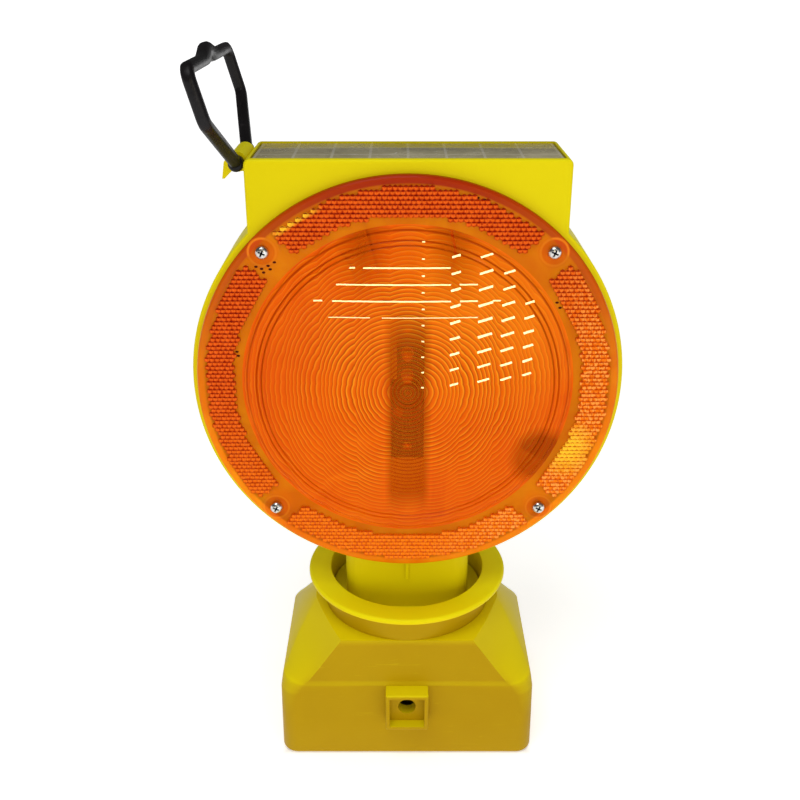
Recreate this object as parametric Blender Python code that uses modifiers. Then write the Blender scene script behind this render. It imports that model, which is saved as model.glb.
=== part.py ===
"""Solar warning light for a road barricade: a yellow plastic head on a bolt-on base.

Lengths in the tables below are millimetres and the helpers turn them into metres. +Z is up and
the lens looks along -Y. The origin is the middle of the base's underside, on the swivel axis.
"""

import math

import bmesh
import bpy
from mathutils import Matrix, Vector

MM = 0.001
GAP = 0.3  # between pieces that touch on the real light

# Head
HEAD_Z = 193.0  # lens centre
DRUM_R = 95.0
DRUM_WALL = 3.0
HEAD_HALF_Y = 22.0
LIP_R = 88.6  # inner radius of the seat that the lens rim lies on
BOX_HALF_X = 67.0
BOX_TOP_Z = 291.0
BOX_CORNER_R = 2.5
CEILING_Z = 286.0  # underside of the ledge that carries the solar panel
LEDGE_Z = 288.4
NECK_X, NECK_Y = 30.0, 20.0
NECK_CORNER_R = 9.0
NECK_WALL = 4.0
FOOT_R, FOOT_Z, FOOT_TOP_Z = 37.5, 67.3, 72.4
NECK_FLOOR_Z = 74.0

# Lens
LENS_R = 92.5
SCREW_SQUARE = 60.7  # half the side of the square that the four lens screws stand on
SCREW_BOSS_R = 6.7

# Solar panel
PANEL_HALF_X, PANEL_HALF_Y = 64.2, 18.8

# Handle
PIVOT_X, PIVOT_Z = -70.6, 288.2
BARREL_R, BARREL_BORE_R, BARREL_HALF_Y = 4.1, 2.2, 12.2
EYE_Y, EYE_R = 15.7, 3.2
HANDLE_HALF_W = 47.0
HANDLE_BEND = 21.5
HANDLE_REACH = 41.5
HANDLE_ARCH = 3.6
HANDLE_ROD_R = 2.5
HANDLE_LEAN = math.radians(15.5)

# LED board, a tall strip behind the lens
BOARD_HALF_X, BOARD_Y = 8.0, (2.0, 3.6)
BOARD_Z = (143.5, 216.5)
BOARD_SCREW_Z = (150.0, 209.5)
LED_Z = (198.5, 187.5)

# Switch, on a radius of the drum
SWITCH_ANGLE = math.radians(-33.0)

# Base
SKIRT_X, SKIRT_Y = 62.5, 43.0
SKIRT_TOP_Z = 40.0
BASE_WALL = 3.4
DECK_Z = 67.0  # floor of the well that the foot turns on
DECK_T = 4.0
TURRET_R, TURRET_BORE_R, TURRET_TOP_Z = 41.5, 39.7, 78.3
COLLAR_R, COLLAR_BORE_R, COLLAR_TOP_Z = 49.2, 38.0, 84.5
BOSS_Z, BOSS_SIDE, BOSS_POCKET = 31.5, 20.8, 16.8
BOSS_FRONT_Y = -50.5
POCKET_FLOOR_Y = -45.5
MOUNT_HOLE_R = 4.25

ROUND_STEPS = 64
SMALL_STEPS = 20

for old in list(bpy.data.objects):
    bpy.data.objects.remove(old, do_unlink=True)

PARTS = bpy.data.collections.new("solar_warning_light")
CUTTERS = bpy.data.collections.new("cutters")
for made in (PARTS, CUTTERS):
    bpy.context.scene.collection.children.link(made)
CUTTERS.hide_render = True


def principled(name, colour, roughness, metallic=0.0, transmission=0.0):
    mat = bpy.data.materials.new(name)
    mat.use_nodes = True
    shader = mat.node_tree.nodes["Principled BSDF"]
    shader.inputs["Base Color"].default_value = (*colour, 1.0)
    shader.inputs["Roughness"].default_value = roughness
    shader.inputs["Metallic"].default_value = metallic
    shader.inputs["Transmission Weight"].default_value = transmission
    return mat


YELLOW = principled("yellow_plastic", (0.68, 0.54, 0.01), 0.42)
AMBER = principled("amber_lens", (0.85, 0.16, 0.01), 0.12, transmission=0.5)
BLACK = principled("black_plastic", (0.012, 0.011, 0.012), 0.35)
RUBBER = principled("black_rubber", (0.02, 0.02, 0.02), 0.8)
STEEL = principled("zinc_steel", (0.62, 0.62, 0.6), 0.35, metallic=1.0)
SOLAR = principled("solar_cells", (0.05, 0.05, 0.06), 0.15)
BOARD = principled("circuit_board", (0.02, 0.05, 0.03), 0.5)
LED = principled("led_resin", (0.8, 0.35, 0.05), 0.1, transmission=0.4)
CELL = principled("cell_jacket", (0.05, 0.25, 0.12), 0.35)
RED_WIRE = principled("red_wire", (0.5, 0.02, 0.02), 0.45)
BLACK_WIRE = principled("black_wire", (0.01, 0.01, 0.01), 0.45)


# Shape helpers. Each one returns an object at the world's origin with its mesh in metres.


def from_bmesh(name, bm):
    bmesh.ops.recalc_face_normals(bm, faces=bm.faces)
    mesh = bpy.data.meshes.new(name)
    bm.to_mesh(mesh)
    bm.free()
    obj = bpy.data.objects.new(name, mesh)
    CUTTERS.objects.link(obj)
    obj.hide_render = True
    obj.display_type = "WIRE"
    return obj


def block(name, x, y, z, bevel=0.0, edges=None):
    """A box between (low, high) pairs. edges names the direction of the edges that are rounded."""
    bm = bmesh.new()
    bmesh.ops.create_cube(bm, size=1.0)
    size = Vector((x[1] - x[0], y[1] - y[0], z[1] - z[0])) * MM
    middle = Vector((sum(x), sum(y), sum(z))) * MM / 2
    bmesh.ops.scale(bm, vec=size, verts=bm.verts)
    bmesh.ops.translate(bm, vec=middle, verts=bm.verts)
    if bevel:
        axis = {"X": 0, "Y": 1, "Z": 2}.get(edges)
        chosen = [
            e
            for e in bm.edges
            if axis is None or abs((e.verts[0].co - e.verts[1].co).normalized()[axis]) > 0.9
        ]
        bmesh.ops.bevel(
            bm, geom=chosen, offset=bevel * MM, segments=3, profile=0.5, affect="EDGES"
        )
    return from_bmesh(name, bm)


def cylinder(name, start, end, radius, steps=SMALL_STEPS, end_radius=None):
    """A straight round bar or cone between two points."""
    a, b = Vector(start) * MM, Vector(end) * MM
    bm = bmesh.new()
    bmesh.ops.create_cone(
        bm,
        cap_ends=True,
        segments=steps,
        radius1=radius * MM,
        radius2=(radius if end_radius is None else end_radius) * MM,
        depth=(b - a).length,
    )
    turn = (b - a).to_track_quat("Z", "Y").to_matrix().to_4x4()
    bmesh.ops.transform(bm, matrix=Matrix.Translation((a + b) / 2) @ turn, verts=bm.verts)
    return from_bmesh(name, bm)


def turned(name, profile, centre=(0.0, 0.0, 0.0), turn=None, closed=False, steps=ROUND_STEPS):
    """A Screw round local Z of (radius, height) points that run down the outer side."""
    bm = bmesh.new()
    points = [bm.verts.new((r * MM, 0.0, h * MM)) for r, h in profile]
    pairs = list(zip(points, points[1:]))
    if closed:
        pairs.append((points[-1], points[0]))
    for a, b in pairs:
        bm.edges.new((a, b))
    obj = from_bmesh(name, bm)
    spin = obj.modifiers.new("turn", "SCREW")
    spin.steps = spin.render_steps = steps
    spin.use_merge_vertices = True
    spin.merge_threshold = 1e-6
    flatten(obj)
    obj.data.transform(Matrix.Translation(Vector(centre) * MM) @ (turn or Matrix()))
    return obj


def outline(name, points, y, bevel=0.0):
    """A flat outline of (x, z) points, extruded between two Y values."""
    curve = bpy.data.curves.new(name, "CURVE")
    curve.dimensions = "2D"
    curve.fill_mode = "BOTH"
    curve.extrude = (y[1] - y[0]) * MM / 2
    spline = curve.splines.new("POLY")
    spline.points.add(len(points) - 1)
    for point, (x, z) in zip(spline.points, points):
        point.co = (x * MM, z * MM, 0.0, 1.0)
    spline.use_cyclic_u = True
    obj = curve_to_mesh(name, curve)
    stand = Matrix.Rotation(math.pi / 2, 4, "X")
    obj.data.transform(Matrix.Translation((0.0, sum(y) * MM / 2, 0.0)) @ stand)
    if bevel:
        edge = obj.modifiers.new("edges", "BEVEL")
        edge.width = bevel * MM
        edge.segments = 3
        edge.limit_method = "ANGLE"
        edge.angle_limit = math.radians(60.0)
        flatten(obj)
    return obj


def rod(name, points, radius, resolution=2, cyclic=False):
    """A round bar along a line of points."""
    curve = bpy.data.curves.new(name, "CURVE")
    curve.dimensions = "3D"
    curve.bevel_depth = radius * MM
    curve.bevel_resolution = resolution
    curve.use_fill_caps = not cyclic
    spline = curve.splines.new("POLY")
    spline.points.add(len(points) - 1)
    for point, co in zip(spline.points, points):
        point.co = (*(Vector(co) * MM), 1.0)
    spline.use_cyclic_u = cyclic
    return curve_to_mesh(name, curve)


def curve_to_mesh(name, curve):
    """Makes a curve a mesh with its caps welded, so that Booleans take it."""
    source = bpy.data.objects.new(name + "_curve", curve)
    bpy.context.scene.collection.objects.link(source)
    graph = bpy.context.evaluated_depsgraph_get()
    mesh = bpy.data.meshes.new_from_object(source.evaluated_get(graph))
    bm = bmesh.new()
    bm.from_mesh(mesh)
    bmesh.ops.transform(bm, matrix=source.matrix_world, verts=bm.verts)
    bmesh.ops.remove_doubles(bm, verts=bm.verts, dist=1e-6)
    bpy.data.objects.remove(source, do_unlink=True)
    return from_bmesh(name, bm)


def flatten(obj):
    """Replaces the mesh by what its modifiers make of it."""
    graph = bpy.context.evaluated_depsgraph_get()
    mesh = bpy.data.meshes.new_from_object(obj.evaluated_get(graph))
    obj.modifiers.clear()
    obj.data = mesh


def join(obj, *others):
    combine(obj, "UNION", others)


def cut(obj, *others):
    combine(obj, "DIFFERENCE", others)


def combine(obj, operation, others):
    for other in others:
        step = obj.modifiers.new(operation.lower(), "BOOLEAN")
        step.operation = operation
        step.object = other
        step.solver = "EXACT"


def smooth_path(points, per_span=5):
    """Points of a Catmull-Rom line through the ones given."""
    ends = [2 * Vector(points[0]) - Vector(points[1])]
    tail = [2 * Vector(points[-1]) - Vector(points[-2])]
    knots = ends + [Vector(p) for p in points] + tail
    path = []
    for a, b, c, d in zip(knots, knots[1:], knots[2:], knots[3:]):
        for i in range(per_span):
            t = i / per_span
            path.append(
                0.5 * (2 * b + (c - a) * t + (2 * a - 5 * b + 4 * c - d) * t**2
                       + (3 * b - a - 3 * c + d) * t**3)
            )
    path.append(Vector(points[-1]))
    return path


def arc(centre, radius, start, end, steps):
    """Points of an arc in a plane, angles in degrees."""
    return [
        (
            centre[0] + radius * math.cos(math.radians(start + (end - start) * i / steps)),
            centre[1] + radius * math.sin(math.radians(start + (end - start) * i / steps)),
        )
        for i in range(steps + 1)
    ]


def piece(obj, mat, origin=(0.0, 0.0, 0.0), parent=None):
    """Makes an object one of the light's pieces, with its origin at a point."""
    flatten(obj)
    for user in list(obj.users_collection):
        user.objects.unlink(obj)
    PARTS.objects.link(obj)
    obj.hide_render = False
    obj.display_type = "TEXTURED"
    obj.data.materials.clear()
    obj.data.materials.append(mat)
    obj.data.shade_smooth()
    obj.data.set_sharp_from_angle(angle=math.radians(32.0))
    offset = Vector(origin) * MM
    obj.data.transform(Matrix.Translation(-offset))
    obj.location = offset
    if parent is not None:
        obj.parent = parent
        obj.location = offset - parent.location
    return obj


FACE_FRONT = Matrix.Rotation(math.pi / 2, 4, "X")  # local Z to -Y


# Head housing: drum, box and neck in one moulding


def head_outline(inset=0.0):
    """The drum's circle with the box's square shoulders on top."""
    radius, half = DRUM_R - inset, BOX_HALF_X - inset
    top, corner = BOX_TOP_Z - inset, BOX_CORNER_R
    meet = math.degrees(math.acos(half / radius))
    points = arc((0.0, HEAD_Z), radius, 180.0 - meet, 360.0 + meet, ROUND_STEPS - 12)
    points += arc((half - corner, top - corner), corner, 0.0, 90.0, 3)
    points += arc((corner - half, top - corner), corner, 90.0, 180.0, 3)
    return points


housing = outline("head_housing", head_outline(), (-HEAD_HALF_Y, HEAD_HALF_Y), bevel=1.2)

neck = block(
    "neck", (-NECK_X, NECK_X), (-NECK_Y, NECK_Y), (FOOT_TOP_Z - 1.0, 112.0), NECK_CORNER_R, "Z"
)
foot = cylinder("foot", (0, 0, FOOT_Z), (0, 0, FOOT_TOP_Z), FOOT_R, 48)
gusset = outline(
    "gusset", [(-0.85, 90.0), (0.85, 90.0), (0.85, 104.0), (-0.85, 104.0)], (-21.6, -17.0)
)
barrel = cylinder(
    "barrel", (PIVOT_X, -BARREL_HALF_Y, PIVOT_Z), (PIVOT_X, BARREL_HALF_Y, PIVOT_Z), BARREL_R
)
barrel_web = block(
    "barrel_web", (PIVOT_X, -64.0), (-BARREL_HALF_Y, BARREL_HALF_Y), (PIVOT_Z - 3.8, PIVOT_Z + 1.5)
)
stop_fin = outline(
    "stop_fin",
    [(-71.5, 291.0), (-76.5, 288.0), (-77.6, 281.0), (-76.6, 281.0), (-73.0, 284.5), (-71.0, 286.0)],
    (-11.0, 11.0),
)
join(housing, neck, foot, gusset, barrel, barrel_web, stop_fin)

room_y = (DRUM_WALL - HEAD_HALF_Y, HEAD_HALF_Y - DRUM_WALL)
cavity = outline("cavity", head_outline(inset=DRUM_WALL), room_y)
ceiling = block("ceiling", (-90, 90), (-30, 30), (CEILING_Z, 300))
cut(cavity, ceiling)
front_opening = cylinder(
    "front_opening", (0, -30, HEAD_Z), (0, -10, HEAD_Z), LIP_R, ROUND_STEPS
)
roof_opening = block("roof_opening", (-58, 58), (-14.5, 14.5), (276, 300))
panel_recess = block(
    "panel_recess",
    (-PANEL_HALF_X - GAP, PANEL_HALF_X + GAP),
    (-PANEL_HALF_Y - GAP, PANEL_HALF_Y + GAP),
    (LEDGE_Z, 300),
)
neck_room = block(
    "neck_room",
    (NECK_WALL - NECK_X, NECK_X - NECK_WALL),
    (NECK_WALL - NECK_Y, NECK_Y - NECK_WALL),
    (NECK_FLOOR_Z, 130),
    5.0,
    "Z",
)
bolt_way = cylinder("bolt_way", (0, 0, 50), (0, 0, 90), 4.4)
pin_way = cylinder("pin_way", (PIVOT_X, -30, PIVOT_Z), (PIVOT_X, 30, PIVOT_Z), BARREL_BORE_R)
outward = Vector((math.cos(SWITCH_ANGLE), 0.0, math.sin(SWITCH_ANGLE)))
hub = Vector((0.0, 0.0, HEAD_Z))
switch_way = cylinder("switch_way", hub + outward * 80, hub + outward * 110, 6.2)
cut(housing, cavity, front_opening, roof_opening, panel_recess, neck_room)

# Inner features, moulded with the housing and added after it is hollowed
screw_places = [
    (sx * SCREW_SQUARE, HEAD_Z + sz * SCREW_SQUARE) for sx, sz in ((-1, 1), (1, 1), (1, -1), (-1, -1))
]
bosses = [
    cylinder(f"boss_{i}", (x, -HEAD_HALF_Y + 0.05, z), (x, -7.0, z), SCREW_BOSS_R, SMALL_STEPS)
    for i, (x, z) in enumerate(screw_places, 1)
]
board_posts = [
    cylinder(f"board_post_{i}", (0, 3.9, z), (0, 20.0, z), 3.2, SMALL_STEPS)
    for i, z in enumerate(BOARD_SCREW_Z, 1)
]
holder_shelves = [
    block(f"holder_shelf_{i}", (x - 2.0, x + 2.0), (2.0, 20.0), (258.5, 264.0))
    for i, x in enumerate((-34.0, 34.0), 1)
]
light_fin = block("light_fin", (-3.8, 3.8), (4.0, 20.0), (BOARD_Z[1] + 2.0, 236.0))
join(housing, *bosses, *board_posts, *holder_shelves, light_fin)
boss_ways = [
    cylinder(f"boss_way_{i}", (x, -30.0, z), (x, -9.0, z), 1.8, 12)
    for i, (x, z) in enumerate(screw_places, 1)
]
post_ways = [
    cylinder(f"post_way_{i}", (0, 0.0, z), (0, 13.0, z), 1.4, 12)
    for i, z in enumerate(BOARD_SCREW_Z, 1)
]
cut(housing, bolt_way, pin_way, switch_way, *boss_ways, *post_ways)
head = piece(housing, YELLOW)

# Front lens and its gasket


lens_profile = [
    (0.0, 32.6),
    (24.0, 32.1),
    (48.0, 30.2),
    (70.5, 27.2),
    (72.0, 26.2),
    (91.6, 26.0),
    (LENS_R, 25.1),
    (LENS_R, 22.0 + GAP),
    (90.8, 22.0 + GAP),
    (90.8, 23.6),
    (72.6, 23.6),
    (48.0, 27.6),
    (0.0, 30.1),
]
lens = turned("front_lens", lens_profile, (0.0, 0.0, HEAD_Z), FACE_FRONT)
lens_ways = [
    cylinder(f"lens_way_{i}", (x, -30.0, z), (x, -15.0, z), 1.8, 12)
    for i, (x, z) in enumerate(screw_places, 1)
]
cut(lens, *lens_ways)
piece(lens, AMBER, (0.0, 0.0, HEAD_Z), head)

gasket = turned(
    "lens_gasket",
    [(90.4, 23.3), (90.4, 22.3), (88.7, 22.3), (88.7, 23.3)],
    (0.0, 0.0, HEAD_Z),
    FACE_FRONT,
    closed=True,
    steps=48,
)
for i, (x, z) in enumerate(screw_places, 1):
    cut(gasket, cylinder(f"gasket_way_{i}", (x, -30.0, z), (x, -15.0, z), 2.1, 12))
piece(gasket, RUBBER, (0.0, 0.0, HEAD_Z), head)

# Lens screws: pan head, cross recess, shank


screw_profile = [
    (0.0, 28.6),
    (1.6, 28.4),
    (2.5, 27.7),
    (2.85, 26.9),
    (2.85, 26.5),
    (1.45, 26.5),
    (1.45, 11.6),
    (0.6, 10.4),
    (0.0, 10.4),
]
for i, (x, z) in enumerate(screw_places, 1):
    screw = turned(f"lens_screw_{i}", screw_profile, (x, 0.0, z), FACE_FRONT, steps=14)
    cut(
        screw,
        block(f"cross_a_{i}", (x - 1.5, x + 1.5), (-30.0, -27.4), (z - 0.3, z + 0.3)),
        block(f"cross_b_{i}", (x - 0.3, x + 0.3), (-30.0, -27.4), (z - 1.5, z + 1.5)),
    )
    piece(screw, STEEL, (x, 0.0, z), head)

# Solar panel


panel = block(
    "solar_panel",
    (-PANEL_HALF_X, PANEL_HALF_X),
    (-PANEL_HALF_Y, PANEL_HALF_Y),
    (LEDGE_Z + GAP, BOX_TOP_Z - 0.6),
    0.4,
)
piece(panel, SOLAR, (0.0, 0.0, BOX_TOP_Z), head)

# Batteries


CELL_Y, CELL_Z, CELL_R = 9.0, 274.5, 7.1
holder = block("battery_holder", (-56.0, 56.0), (-0.4, 18.4), (264.3, 278.0), 1.0, "Y")
for i, x in enumerate(((-53.2, -1.2), (1.2, 53.2)), 1):
    cut(
        holder,
        block(f"cell_room_{i}", x, (CELL_Y - 7.6, CELL_Y + 7.6), (CELL_Z, 290.0)),
        cylinder(f"cell_bed_{i}", (x[0], CELL_Y, CELL_Z), (x[1], CELL_Y, CELL_Z), 7.6, 24),
    )
piece(holder, BLACK, (0.0, CELL_Y, CELL_Z), head)

cell_profile = [
    (0.0, 25.2),
    (2.6, 25.2),
    (2.6, 24.0),
    (CELL_R - 0.6, 24.0),
    (CELL_R, 23.4),
    (CELL_R, -24.6),
    (CELL_R - 0.6, -25.2),
    (0.0, -25.2),
]
for i, (x, side) in enumerate(((-27.2, -1), (27.2, -1)), 1):
    turn = Matrix.Rotation(side * math.pi / 2, 4, "Y")
    cell = turned(f"battery_cell_{i}", cell_profile, (x, CELL_Y, CELL_Z), turn, steps=24)
    piece(cell, CELL, (x, CELL_Y, CELL_Z), head)

# Circuit board, LEDs and light sensor


board = block("led_board", (-BOARD_HALF_X, BOARD_HALF_X), BOARD_Y, BOARD_Z)
cut(board, block("board_notch", (-20.0, -4.8), (-5.0, 10.0), (184.0, 230.0)))
for i, z in enumerate(BOARD_SCREW_Z, 1):
    cut(board, cylinder(f"board_way_{i}", (0, -2, z), (0, 8, z), 1.5, 12))
piece(board, BOARD, (0.0, BOARD_Y[0], sum(BOARD_Z) / 2), head)

board_screw_profile = [
    (0.0, 1.5),
    (1.4, 1.3),
    (2.3, 0.5),
    (2.3, 0.0),
    (1.1, 0.0),
    (1.1, -9.0),
    (0.0, -10.0),
]
for i, z in enumerate(BOARD_SCREW_Z, 1):
    at = (0.0, BOARD_Y[0] - GAP, z)
    screw = turned(f"board_screw_{i}", board_screw_profile, at, FACE_FRONT, steps=12)
    piece(screw, STEEL, at, head)

led_profile = [
    (0.0, 8.2),
    (1.2, 7.9),
    (2.1, 7.0),
    (2.5, 5.8),
    (2.5, 1.4),
    (2.9, 1.4),
    (2.9, 0.0),
    (0.0, 0.0),
]
for i, z in enumerate(LED_Z, 1):
    at = (0.0, BOARD_Y[0] - GAP, z)
    led = turned(f"led_{i}", led_profile, at, FACE_FRONT, steps=16)
    piece(led, LED, at, head)

at = (-4.2, BOARD_Y[0] - GAP, 168.6)
sensor = turned(
    "light_sensor",
    [(0.0, 2.2), (2.2, 2.2), (2.4, 2.0), (2.4, 0.0), (0.0, 0.0)],
    at,
    FACE_FRONT,
    steps=16,
)
piece(sensor, CELL, at, head)

# Push switch: body through the drum's wall, nut inside it, sprung cap outside it

# Local Z runs out along the switch's radius, local Y stays the light's Y.
switch_turn = Vector((0, 0, 1)).rotation_difference(outward).to_matrix().to_4x4()


def on_switch(obj):
    """Moves a shape from the world's Z axis to the switch's radius."""
    obj.data.transform(Matrix.Translation(hub * MM) @ switch_turn)
    return obj


bushing = turned(
    "switch_body",
    [
        (4.4, 96.3),
        (7.0, 96.3),
        (7.4, 95.9),
        (7.4, 95.35),
        (5.8, 95.35),
        (5.8, 80.0),
        (0.0, 80.0),
        (0.0, 89.0),
        (4.4, 89.0),
    ],
    closed=True,
    steps=32,
)
on_switch(bushing)
switch_case = on_switch(block("switch_case", (-5.7, 5.7), (-2.4, 2.4), (68.0, 84.0), 0.4, "Z"))
terminals = [
    on_switch(block(f"terminal_{i}", (x - 1.0, x + 1.0), (-0.4, 0.4), (64.6, 69.0)))
    for i, x in enumerate((-3.4, 3.4), 1)
]
join(bushing, switch_case, *terminals)
piece(bushing, BLACK, hub + outward * 80, head)

nut = on_switch(cylinder("switch_nut", (0, 0, 88.2), (0, 0, 91.0), 8.0, 6))
cut(nut, on_switch(cylinder("nut_way", (0, 0, 80), (0, 0, 100), 6.15, 32)))
piece(nut, STEEL, hub + outward * 88, head)

cap = turned(
    "switch_cap",
    [(0.0, 100.6), (3.6, 100.4), (5.4, 99.7), (6.0, 98.9), (6.0, 98.5), (3.9, 98.5), (3.9, 91.4), (0.0, 91.4)],
    steps=28,
)
piece(on_switch(cap), BLACK, hub + outward * 95, head)

# Wires, each a free lead between two terminals


def switch_point(x, y, radius):
    return hub + switch_turn.to_3x3() @ Vector((x, y, radius))


WIRES = {
    "switch_wire_red": (
        RED_WIRE,
        [switch_point(-3.4, 0.0, 64.2), switch_point(-4.4, -1.5, 57.0), (38.0, -4.0, 163.5),
         (22.0, -3.0, 168.0), (9.0, 0.6, 171.5)],
    ),
    "switch_wire_black": (
        BLACK_WIRE,
        [switch_point(3.4, 0.0, 64.2), switch_point(3.6, 1.0, 57.0), (33.0, 3.0, 158.0),
         (19.0, 3.0, 161.0), (9.0, 2.6, 164.5)],
    ),
    "panel_wire_black": (
        BLACK_WIRE,
        [(-27.0, -6.0, 287.6), (-24.0, -8.0, 276.0), (-18.0, -9.0, 260.0), (-12.5, -7.0, 240.0),
         (-7.0, -3.0, 226.0), (-2.8, 1.0, 219.5), (-2.5, 2.6, 217.4)],
    ),
    "panel_wire_red": (
        RED_WIRE,
        [(24.0, -6.0, 287.6), (19.0, -8.0, 276.0), (18.4, -9.0, 260.0), (20.6, -7.0, 245.0),
         (12.0, -4.0, 228.0), (4.0, 1.0, 219.5), (3.0, 2.6, 217.4)],
    ),
    "battery_wire_black": (
        BLACK_WIRE,
        [(-50.0, -1.4, 271.0), (-44.0, -5.0, 262.0), (-26.0, -5.0, 244.0), (-16.0, -2.0, 206.0),
         (-9.0, 2.6, 178.0)],
    ),
    "battery_wire_red": (
        RED_WIRE,
        [(50.0, -1.4, 271.0), (44.0, -5.0, 262.0), (30.0, -5.0, 244.0), (18.0, -2.0, 206.0),
         (9.0, 2.6, 182.0)],
    ),
}
for name, (mat, knots) in WIRES.items():
    wire = rod(name, smooth_path(knots, 3), 0.65, resolution=1)
    piece(wire, mat, knots[0], head)

# Carry handle: stub pins in the barrel, legs that splay to a bend, a grip with a hook arch


def rounded_path(points, radius, steps=4):
    """Points of a line whose inner corners are drawn as arcs."""
    path = [Vector(points[0])]
    for before, corner, after in zip(points, points[1:], points[2:]):
        into = (Vector(corner) - Vector(before)).normalized()
        out = (Vector(after) - Vector(corner)).normalized()
        turn_angle = into.angle(out)
        reach = radius * math.tan(turn_angle / 2)
        start = Vector(corner) - into * reach
        for i in range(steps + 1):
            sweep = turn_angle * i / steps
            across = radius * (1 - math.cos(sweep))
            aside = (out - into * math.cos(turn_angle)).normalized()
            path.append(start + into * radius * math.sin(sweep) + aside * across)
    path.append(Vector(points[-1]))
    return path


def handle_path():
    """(across, up) points from one eye to the other, up being away from the hinge."""
    w, top = HANDLE_HALF_W, HANDLE_REACH
    left = rounded_path([(-EYE_Y, 0.0), (-w, HANDLE_BEND), (-w, top), (-18.0, top)], 5.0)
    left += [(-12.0, top + HANDLE_ARCH / 3), (-7.0, top + 0.8 * HANDLE_ARCH)]
    return left + [(0.0, top + HANDLE_ARCH)] + [(-y, up) for y, up in reversed(left)]


lean = Matrix.Translation((PIVOT_X * MM, 0.0, PIVOT_Z * MM)) @ Matrix.Rotation(-HANDLE_LEAN, 4, "Y")
handle = rod("carry_handle", [(0.0, y, up) for y, up in handle_path()], HANDLE_ROD_R)
hinge_ends = []
for side in (-1, 1):
    eye = ((0, side * (EYE_Y - 2.5), 0), (0, side * (EYE_Y + 2.5), 0))
    stub = ((0, side * 7.0, 0), (0, side * EYE_Y, 0))
    hinge_ends.append(cylinder(f"eye_{side}", *eye, EYE_R))
    hinge_ends.append(cylinder(f"stub_{side}", *stub, BARREL_BORE_R - GAP))
join(handle, *hinge_ends)
flatten(handle)
handle.data.transform(lean)
piece(handle, BLACK, (PIVOT_X, 0.0, PIVOT_Z), head)

# Base: a hollow skirt that draws in to a turret


def rounded_ring(bm, half_x, half_y, corner, z, steps=7):
    """One level of the loft: a rectangle with round corners, always the same count of points."""
    corner = min(corner, half_x - 0.5, half_y - 0.5)
    ring = []
    for quarter in range(4):
        sx = 1 if quarter in (0, 3) else -1
        sy = 1 if quarter in (0, 1) else -1
        centre = (sx * (half_x - corner), sy * (half_y - corner))
        for x, y in arc(centre, corner, 90.0 * quarter, 90.0 * (quarter + 1), steps):
            ring.append(bm.verts.new((x * MM, y * MM, z * MM)))
    return ring


def loft(name, levels):
    bm = bmesh.new()
    rings = [rounded_ring(bm, *level) for level in levels]
    for low, high in zip(rings, rings[1:]):
        for i in range(len(low)):
            j = (i + 1) % len(low)
            bm.faces.new((low[i], low[j], high[j], high[i]))
    bm.faces.new(list(reversed(rings[0])))
    bm.faces.new(rings[-1])
    return from_bmesh(name, bm)


SHOULDER = [
    (SKIRT_X - 0.9, SKIRT_Y - 0.2, 8.5, SKIRT_TOP_Z + 1.2),
    (SKIRT_X - 1.6, SKIRT_Y - 0.3, 9.0, 43.0),
    (58.0, SKIRT_Y - 0.5, 14.0, 52.0),
    (52.4, SKIRT_Y - 0.7, 25.0, 60.0),
    (47.2, SKIRT_Y - 0.9, 41.0, 66.4),
]
base = loft(
    "base_body",
    [
        (SKIRT_X - 1.2, SKIRT_Y - 1.2, 6.8, 0.0),
        (SKIRT_X - 0.3, SKIRT_Y - 0.3, 7.7, 0.5),
        (SKIRT_X, SKIRT_Y, 8.0, 1.6),
        (SKIRT_X - 0.3, SKIRT_Y - 0.1, 8.0, SKIRT_TOP_Z),
        *SHOULDER,
        (46.0, 41.6, 40.5, 68.0),
    ],
)
turret = cylinder("turret", (0, 0, 60.0), (0, 0, TURRET_TOP_Z), TURRET_R, ROUND_STEPS)
boss = block(
    "boss",
    (-BOSS_SIDE / 2, BOSS_SIDE / 2),
    (BOSS_FRONT_Y, -38.0),
    (BOSS_Z - BOSS_SIDE / 2, BOSS_Z + BOSS_SIDE / 2),
    1.2,
    "Y",
)
rear_pad = cylinder("rear_pad", (0, 38.0, BOSS_Z), (0, SKIRT_Y + 1.0, BOSS_Z), 10.0, 28)
join(base, turret, boss, rear_pad)
inner = loft(
    "base_room",
    [
        (SKIRT_X - BASE_WALL, SKIRT_Y - BASE_WALL, 5.0, -5.0),
        (SKIRT_X - BASE_WALL, SKIRT_Y - BASE_WALL, 5.0, SKIRT_TOP_Z),
        (55.0, SKIRT_Y - BASE_WALL - 0.5, 12.0, 51.0),
        (44.5, SKIRT_Y - BASE_WALL - 1.0, 37.0, DECK_Z - DECK_T),
    ],
)
well = cylinder("well", (0, 0, DECK_Z), (0, 0, 100), TURRET_BORE_R, ROUND_STEPS)
pocket = block(
    "pocket",
    (-BOSS_POCKET / 2, BOSS_POCKET / 2),
    (-60.0, POCKET_FLOOR_Y),
    (BOSS_Z - BOSS_POCKET / 2, BOSS_Z + BOSS_POCKET / 2),
    0.8,
    "Y",
)
mount_way = cylinder("mount_way", (0, -60, BOSS_Z), (0, 60, BOSS_Z), MOUNT_HOLE_R, 24)
swivel_way = cylinder("swivel_way", (0, 0, 50), (0, 0, 90), 4.4)
cut(base, inner, well, pocket, mount_way, swivel_way)
base_piece = piece(base, YELLOW)

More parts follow.
